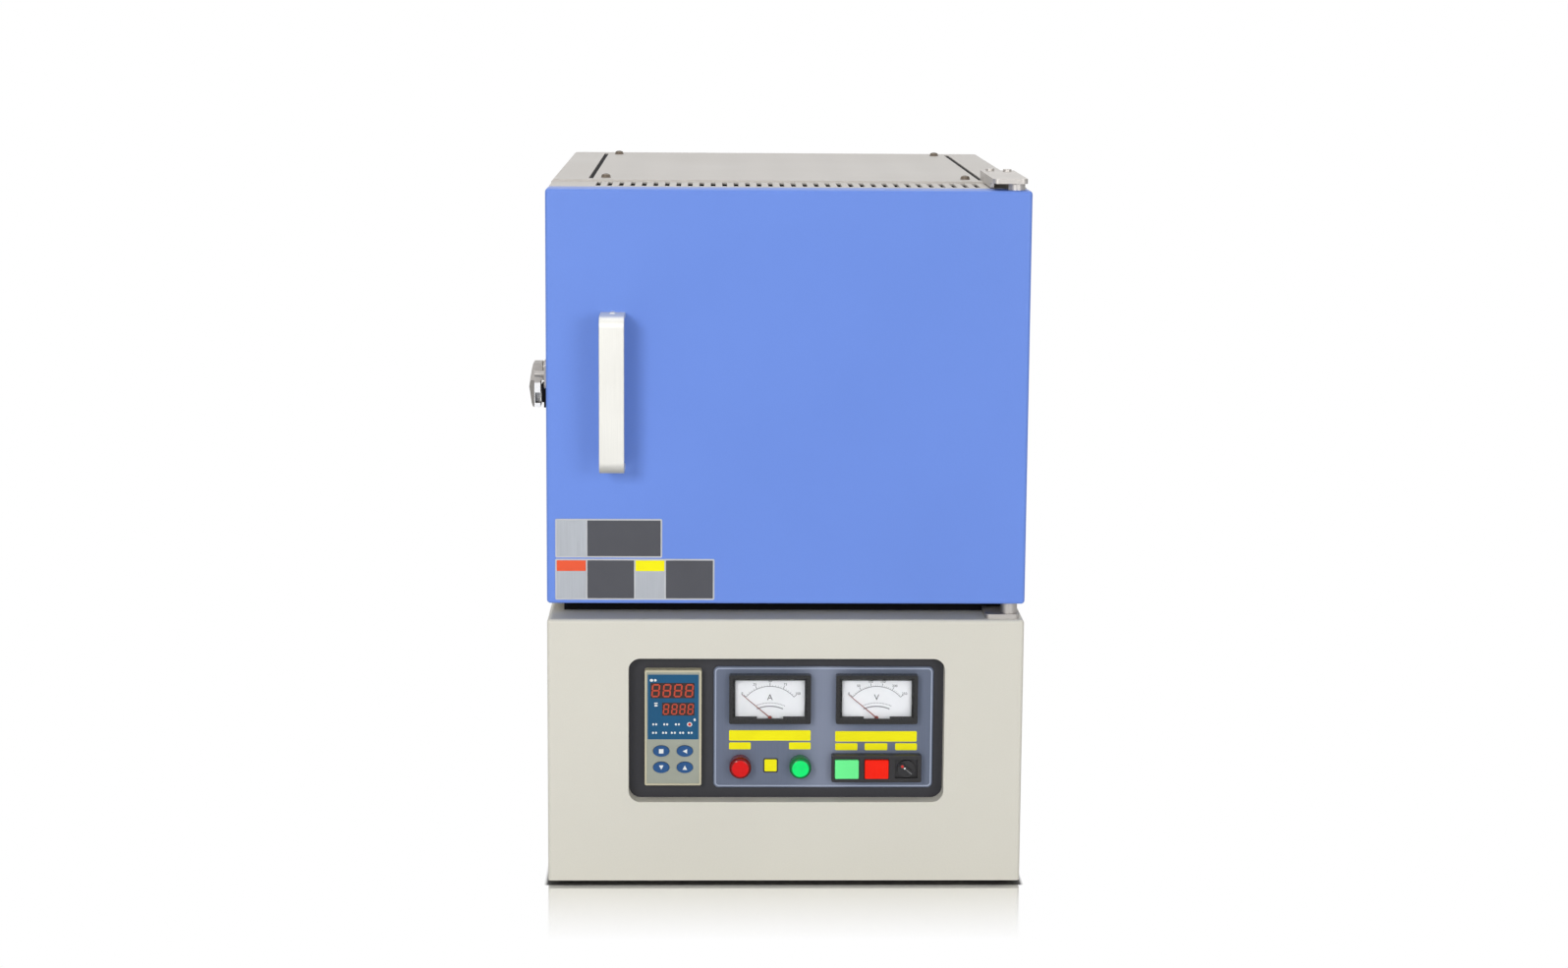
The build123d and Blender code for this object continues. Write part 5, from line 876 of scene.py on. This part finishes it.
def plate_print():
    """A light line of painted highlight along the plate's rounded edge, the yellow strips and the plain
    square sign on the instrument plate.
    """
    low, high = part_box("instrument_plate")
    middle = (low + high) / 2
    y_front = low.y - PRINT_T
    depth = PRINT_T + SINK
    width = high.x - low.x - 2 * BORDER_IN
    height = high.z - low.z - 2 * BORDER_IN
    mesh = bmesh.new()
    # Painted highlight along the plate's edge
    outer = rounded_outline(middle.x, middle.z, width, height, BORDER_R, 8)
    inner = rounded_outline(middle.x, middle.z, width - 2 * BORDER_W, height - 2 * BORDER_W,
                            BORDER_INNER_R, 8)
    add_ring(mesh, outer, inner, y_front, depth, 0)
    for strip in YELLOW_STRIPS:
        x_lo, x_hi, z_lo, z_hi = (value * MM for value in strip)
        add_plate(mesh, between(x_lo, x_hi, z_lo, z_hi, STRIP_R), y_front, depth, 1)
    sign_x, sign_z, sign_w = PLAIN_SIGN
    inner_w = sign_w - 2 * SIGN_RIM
    add_plate(mesh, rounded_outline(sign_x, sign_z, sign_w, sign_w, SIGN_R), y_front, depth, 2)
    add_plate(mesh, rounded_outline(sign_x, sign_z, inner_w, inner_w, SIGN_INNER_R), y_front - PRINT_T,
              depth, 1)
    make_piece("plate_print", mesh, [PLATE_EDGE_HIGHLIGHT, STRIP_YELLOW, SWITCH_BLACK], "furnace_body")


# Selector marks: a red dot, a light dot and a pointer line along the grip
SELECTOR_LEAN = -40.0
RED_DOT = (-4.6 * MM, 1.2 * MM)
LIGHT_DOT = (-2.0 * MM, 0.8 * MM)
POINTER = (-0.4 * MM, 5.8 * MM, 0.4 * MM)


def selector_marks():
    low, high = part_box("selector_knob")
    x0 = (low.x + high.x) / 2
    z0 = (low.z + high.z) / 2
    y_front = low.y - PRINT_T
    depth = PRINT_T + SINK
    turn = radians(SELECTOR_LEAN)

    def along(distance):
        return x0 + distance * cos(turn), z0 + distance * sin(turn)

    mesh = bmesh.new()
    for (distance, radius), steps, material in ((RED_DOT, 16, 0), (LIGHT_DOT, 14, 1)):
        add_plate(mesh, oval_outline(*along(distance), radius, radius, steps), y_front, depth, material)
    add_plate(mesh, tick_outline(x0, z0, *POINTER, 90.0 - SELECTOR_LEAN), y_front, depth, 2)
    make_piece("selector_marks", mesh, [MARK_RED, MARK_WHITE, DIAL_GREY], "selector")


# Pan heads: a dome on each screw head, with a flat dark cross of painted shade where its cross recess is
DOME_R = 3.55 * MM
DOME_H = 0.9 * MM
CROSS_L = 3.6 * MM
CROSS_W = 0.8 * MM
DOME_RINGS = 5
DOME_STEPS = 24
DECK_SCREWS = [(x, y) for x in (-154.5 * MM, 154.5 * MM) for y in (-132 * MM, 216 * MM)]
REAR_SCREWS = [(x, z) for x in (-191 * MM, 191 * MM)
               for z in (12.5 * MM, 220.5 * MM, 246.5 * MM, 581.8 * MM)]


def add_pan_head(mesh, place):
    """A dome that bulges along Z, with a dark cross of painted shade for its recess on it, moved by the
    matrix.
    """
    loops = []
    for ring in range(DOME_RINGS):
        rise = radians(90 * ring / DOME_RINGS)
        radius = DOME_R * cos(rise)
        loops.append([mesh.verts.new(place @ Vector((radius * cos(2 * pi * i / DOME_STEPS),
                                                     radius * sin(2 * pi * i / DOME_STEPS),
                                                     DOME_H * sin(rise)))) for i in range(DOME_STEPS)])
    for low, high in zip(loops, loops[1:]):
        for i in range(DOME_STEPS):
            j = (i + 1) % DOME_STEPS
            mesh.faces.new((low[i], low[j], high[j], high[i])).smooth = True
    mesh.faces.new(loops[-1]).smooth = True
    mesh.faces.new(loops[0][::-1])
    # The cross: painted shade where the recess is
    for length, width in ((CROSS_L, CROSS_W), (CROSS_W, CROSS_L)):
        before = len(mesh.faces)
        box = bmesh.ops.create_cube(mesh, size=1.0)["verts"]
        shape = Matrix.Diagonal((length, width, PRINT_T, 1.0))
        bmesh.ops.transform(mesh, matrix=place @ Matrix.Translation((0, 0, DOME_H)) @ shape, verts=box)
        mesh.faces.ensure_lookup_table()
        for face in mesh.faces[before:]:
            face.material_index = 1


def pan_heads():
    deck_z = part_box("panel_screws")[1].z
    rear_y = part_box("panel_screws")[1].y
    mesh = bmesh.new()
    for x, y in DECK_SCREWS:
        add_pan_head(mesh, Matrix.Translation((x, y, deck_z - SINK)))
    for x, z in REAR_SCREWS:
        add_pan_head(mesh, Matrix.Translation((x, rear_y - SINK, z)) @ Matrix.Rotation(radians(-90), 4, "X"))
    make_piece("screw_domes", mesh, [SCREW_STEEL, SWITCH_BLACK], "furnace_body")


# Black pieces that stand for shade: behind the vent slots, in the gaps beside the cover, in the gap under
# the front frame and beside the latch lever
SLOT_SHADE_W = 326.0 * MM
SLOT_SHADE_Y = -166.5 * MM
SLOT_SHADE_T = 0.8 * MM
SLOT_SHADE_H = 16.0 * MM
GAP_SHADE_W = 5.0 * MM
GAP_SHADE_H = 1.2 * MM
GAP_SHADE_DROP = 1.0 * MM
LATCH_SHADE_Y = (-214.0 * MM, -196.0 * MM)
LATCH_SHADE_STEPS = ((-203.6 * MM, 403.0 * MM, 407.5 * MM), (-205.5 * MM, 407.5 * MM, 422.6 * MM))
FRONT_SHADE_IN = 11.0 * MM
FRONT_SHADE_BACK = 5.0 * MM
FRONT_SHADE_T = 3.0 * MM


def add_block(mesh, low, high, material=0):
    """A plain box between two corners."""
    before = len(mesh.faces)
    made = bmesh.ops.create_cube(mesh, size=1.0)["verts"]
    size = Vector(high) - Vector(low)
    shape = Matrix.Translation((Vector(low) + Vector(high)) / 2) @ Matrix.Diagonal((*size, 1.0))
    bmesh.ops.transform(mesh, matrix=shape, verts=made)
    mesh.faces.ensure_lookup_table()
    for face in mesh.faces[before:]:
        face.material_index = material


def vent_slot_shade():
    """A black sheet behind the vent slots, under the front frame's top, that stands for the shade inside the
    slots.
    """
    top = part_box("front_frame")[1].z - FRAME_SHEET
    mesh = bmesh.new()
    add_block(mesh, (-SLOT_SHADE_W / 2, SLOT_SHADE_Y, top - SLOT_SHADE_H), (SLOT_SHADE_W / 2, SLOT_SHADE_Y + SLOT_SHADE_T, top))
    make_piece("vent_slot_shade", mesh, [SHADE_BLACK], "furnace_body")


def cover_gap_shade():
    """Black strips in the gaps at both sides of the cover, that stand for the shade in these gaps."""
    low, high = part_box("top_cover")
    mesh = bmesh.new()
    for side in (-1, 1):
        inner = side * (high.x - SINK)
        outer = side * (high.x + GAP_SHADE_W)
        x_lo, x_hi = sorted((inner, outer))
        add_block(mesh, (x_lo, low.y, high.z - GAP_SHADE_DROP - GAP_SHADE_H), (x_hi, high.y, high.z - GAP_SHADE_DROP))
    make_piece("cover_gap_shade", mesh, [SHADE_BLACK], "furnace_body")


def latch_shade_block():
    """A black block on the cabinet's side beside the hanging lever, that stands for the shade behind the
    lever.
    """
    side_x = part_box("cabinet_shell")[0].x
    mesh = bmesh.new()
    for x, z_lo, z_hi in LATCH_SHADE_STEPS:
        add_block(mesh, (x, LATCH_SHADE_Y[0], z_lo), (side_x + FRAME_SHEET, LATCH_SHADE_Y[1], z_hi))
    make_piece("latch_shade_block", mesh, [SHADE_BLACK], "furnace_body")


def front_gap_shade():
    """A black strip in the gap between the base and the cabinet's front, that stands for the shade in this
    gap.
    """
    low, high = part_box("front_frame")
    base_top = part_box("base_shell")[1].z
    mesh = bmesh.new()
    add_block(mesh, (low.x + FRONT_SHADE_IN, low.y + FRONT_SHADE_BACK, base_top),
              (high.x - FRONT_SHADE_IN, low.y + FRONT_SHADE_BACK + FRONT_SHADE_T, low.z))
    make_piece("front_gap_shade", mesh, [SHADE_BLACK], "furnace_body")


vent_slot_shade()
front_gap_shade()
cover_gap_shade()
latch_shade_block()
pan_heads()
door_labels()
controller_display()
key_marks()
dial_print("ammeter_print", "A", ("0", "25", "50", "75", "100"), "ammeter_needle", -12.9 * MM)
dial_print("voltmeter_print", "V", ("0", "50", "100", "150", "200", "250"), "voltmeter_needle", 77.3 * MM)
plate_print()
selector_marks()


# Floor: plain white to the camera, with a painted shadow under and just round the base, and a mirror image
# of the base that fades away from it
FLOOR_SIZE = 30.0
FLOOR_PALE = (0.93, 0.93, 0.93, 1.0)
FLOOR_PAINTED_SHADOW = (0.015, 0.014, 0.013, 1.0)
# How far past the base the painted shadow reaches
CONTACT_REACH = 4.0 * MM
MIRROR_REACH = 0.14
MIRROR_SHARE = 0.9
MIRROR_BLUR = 0.12


def floor():
    """White to the camera, with a painted shadow under the base and its fading mirror image."""
    mesh = bmesh.new()
    bmesh.ops.create_grid(mesh, x_segments=1, y_segments=1, size=FLOOR_SIZE / 2)
    data = bpy.data.meshes.new("floor")
    mesh.to_mesh(data)
    mesh.free()
    piece = bpy.data.objects.new("floor", data)
    bpy.context.scene.collection.objects.link(piece)
    low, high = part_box("base_shell")
    middle = (low + high) / 2
    half = (high - low) / 2
    material = bpy.data.materials.new("floor_white")
    material.use_nodes = True
    tree = material.node_tree
    surface = tree.nodes["Principled BSDF"]
    surface.inputs["Roughness"].default_value = 0.6
    where = add(tree, "TexCoord").outputs["Object"]
    off = add(tree, "VectorMath", {0: where, 1: (middle.x, middle.y, 0.0)}, operation="SUBTRACT")
    off = add(tree, "VectorMath", {0: off.outputs[0]}, operation="ABSOLUTE")
    off = add(tree, "VectorMath", {0: off.outputs[0], 1: (half.x, half.y, 0.0)}, operation="SUBTRACT")
    off = add(tree, "VectorMath", {0: off.outputs[0], 1: (0.0, 0.0, 0.0)}, operation="MAXIMUM")
    away = add(tree, "VectorMath", {0: off.outputs[0]}, operation="LENGTH").outputs["Value"]
    clear = add(tree, "MapRange", {"Value": away, "From Min": 0.0, "From Max": CONTACT_REACH},
                interpolation_type="SMOOTHSTEP").outputs["Result"]
    mirror = add(tree, "MapRange", {"Value": away, "From Min": 0.0, "From Max": MIRROR_REACH,
                                    "To Min": MIRROR_SHARE, "To Max": 0.0}).outputs["Result"]
    seen = add(tree, "LightPath").outputs["Is Camera Ray"]
    # Painted shadow: a dark colour to the camera under and just round the base
    pale = add(tree, "Mix", {0: seen, 6: FLOOR_PALE, 7: FLOOR_PAINTED_SHADOW}, data_type="RGBA").outputs[2]
    tree.links.new(pale, surface.inputs["Base Color"])
    share = add(tree, "Math", {0: clear, 1: seen}, operation="MULTIPLY").outputs[0]
    white = add(tree, "Emission", {"Color": (1, 1, 1, 1), "Strength": 1.0}).outputs[0]
    shine = add(tree, "BsdfGlossy", {"Color": (1, 1, 1, 1), "Roughness": MIRROR_BLUR}).outputs[0]
    clean = add(tree, "MixShader", {0: mirror, 1: white, 2: shine}).outputs[0]
    mixed = add(tree, "MixShader", {0: share, 1: surface.outputs[0], 2: clean}).outputs[0]
    tree.links.new(mixed, tree.nodes["Material Output"].inputs["Surface"])
    data.materials.append(material)


# Level light: a soft world, and large soft panels on the left, the right and overhead
WORLD_LIGHT = 0.27
FRONT_MIDDLE = (0.0, -0.1, 0.3)


def world():
    """A plain white surround, weaker as a light than as it is seen in gloss and glass."""
    surround = bpy.data.worlds.new("studio")
    bpy.context.scene.world = surround
    surround.use_nodes = True
    tree = surround.node_tree
    tree.nodes.clear()
    rays = add(tree, "LightPath").outputs
    seen = add(tree, "Math", {0: rays["Is Camera Ray"], 1: rays["Is Glossy Ray"]},
               operation="MAXIMUM").outputs[0]
    seen = add(tree, "Math", {0: seen, 1: rays["Is Transmission Ray"]}, operation="MAXIMUM").outputs[0]
    strength = add(tree, "MapRange", {"Value": seen, "To Min": WORLD_LIGHT, "To Max": 1.0}).outputs["Result"]
    sky = add(tree, "Background", {"Color": (1, 1, 1, 1), "Strength": strength}).outputs[0]
    output = tree.nodes.new("ShaderNodeOutputWorld")
    tree.links.new(sky, output.inputs["Surface"])


def soft_panel(name, place, target, size, power):
    """A square area light that points at the target."""
    light = bpy.data.lights.new(name, "AREA")
    light.shape = "SQUARE"
    light.size = size
    light.energy = power
    lamp = bpy.data.objects.new(name, light)
    lamp.location = place
    lamp.rotation_euler = (Vector(target) - Vector(place)).to_track_quat("-Z", "Y").to_euler()
    bpy.context.scene.collection.objects.link(lamp)


def camera():
    """The camera of the photograph: its place, turn, lens and shift."""
    yaw = radians(CAMERA_YAW)
    pitch = radians(CAMERA_PITCH)
    roll = radians(CAMERA_ROLL)
    level_right = Vector((cos(yaw), sin(yaw), 0))
    level_up = Vector((-sin(pitch) * sin(yaw), sin(pitch) * cos(yaw), cos(pitch)))
    right = level_right * cos(roll) - level_up * sin(roll)
    up = level_right * sin(roll) + level_up * cos(roll)
    back = right.cross(up)
    lens = bpy.data.cameras.new("camera")
    lens.sensor_width = SENSOR
    lens.lens = PHOTO_FOCAL / PHOTO_W * SENSOR
    lens.shift_y = PHOTO_SHIFT / PHOTO_W
    lens.clip_end = 100.0
    viewer = bpy.data.objects.new("camera", lens)
    viewer.matrix_world = Matrix.Translation(CAMERA_PLACE) @ Matrix((right, up, back)).transposed().to_4x4()
    bpy.context.scene.collection.objects.link(viewer)
    bpy.context.scene.camera = viewer


floor()
world()
soft_panel("key_panel", (-1.0, -2.4, 1.1), FRONT_MIDDLE, 0.7, 22.0)
soft_panel("fill_panel", (1.15, -2.3, 0.8), FRONT_MIDDLE, 0.9, 11.5)
soft_panel("top_panel", (0.0, 0.2, 2.6), (0.0, 0.0, 0.3), 1.8, 19.0)
camera()
bpy.context.scene.view_settings.view_transform = "Standard"
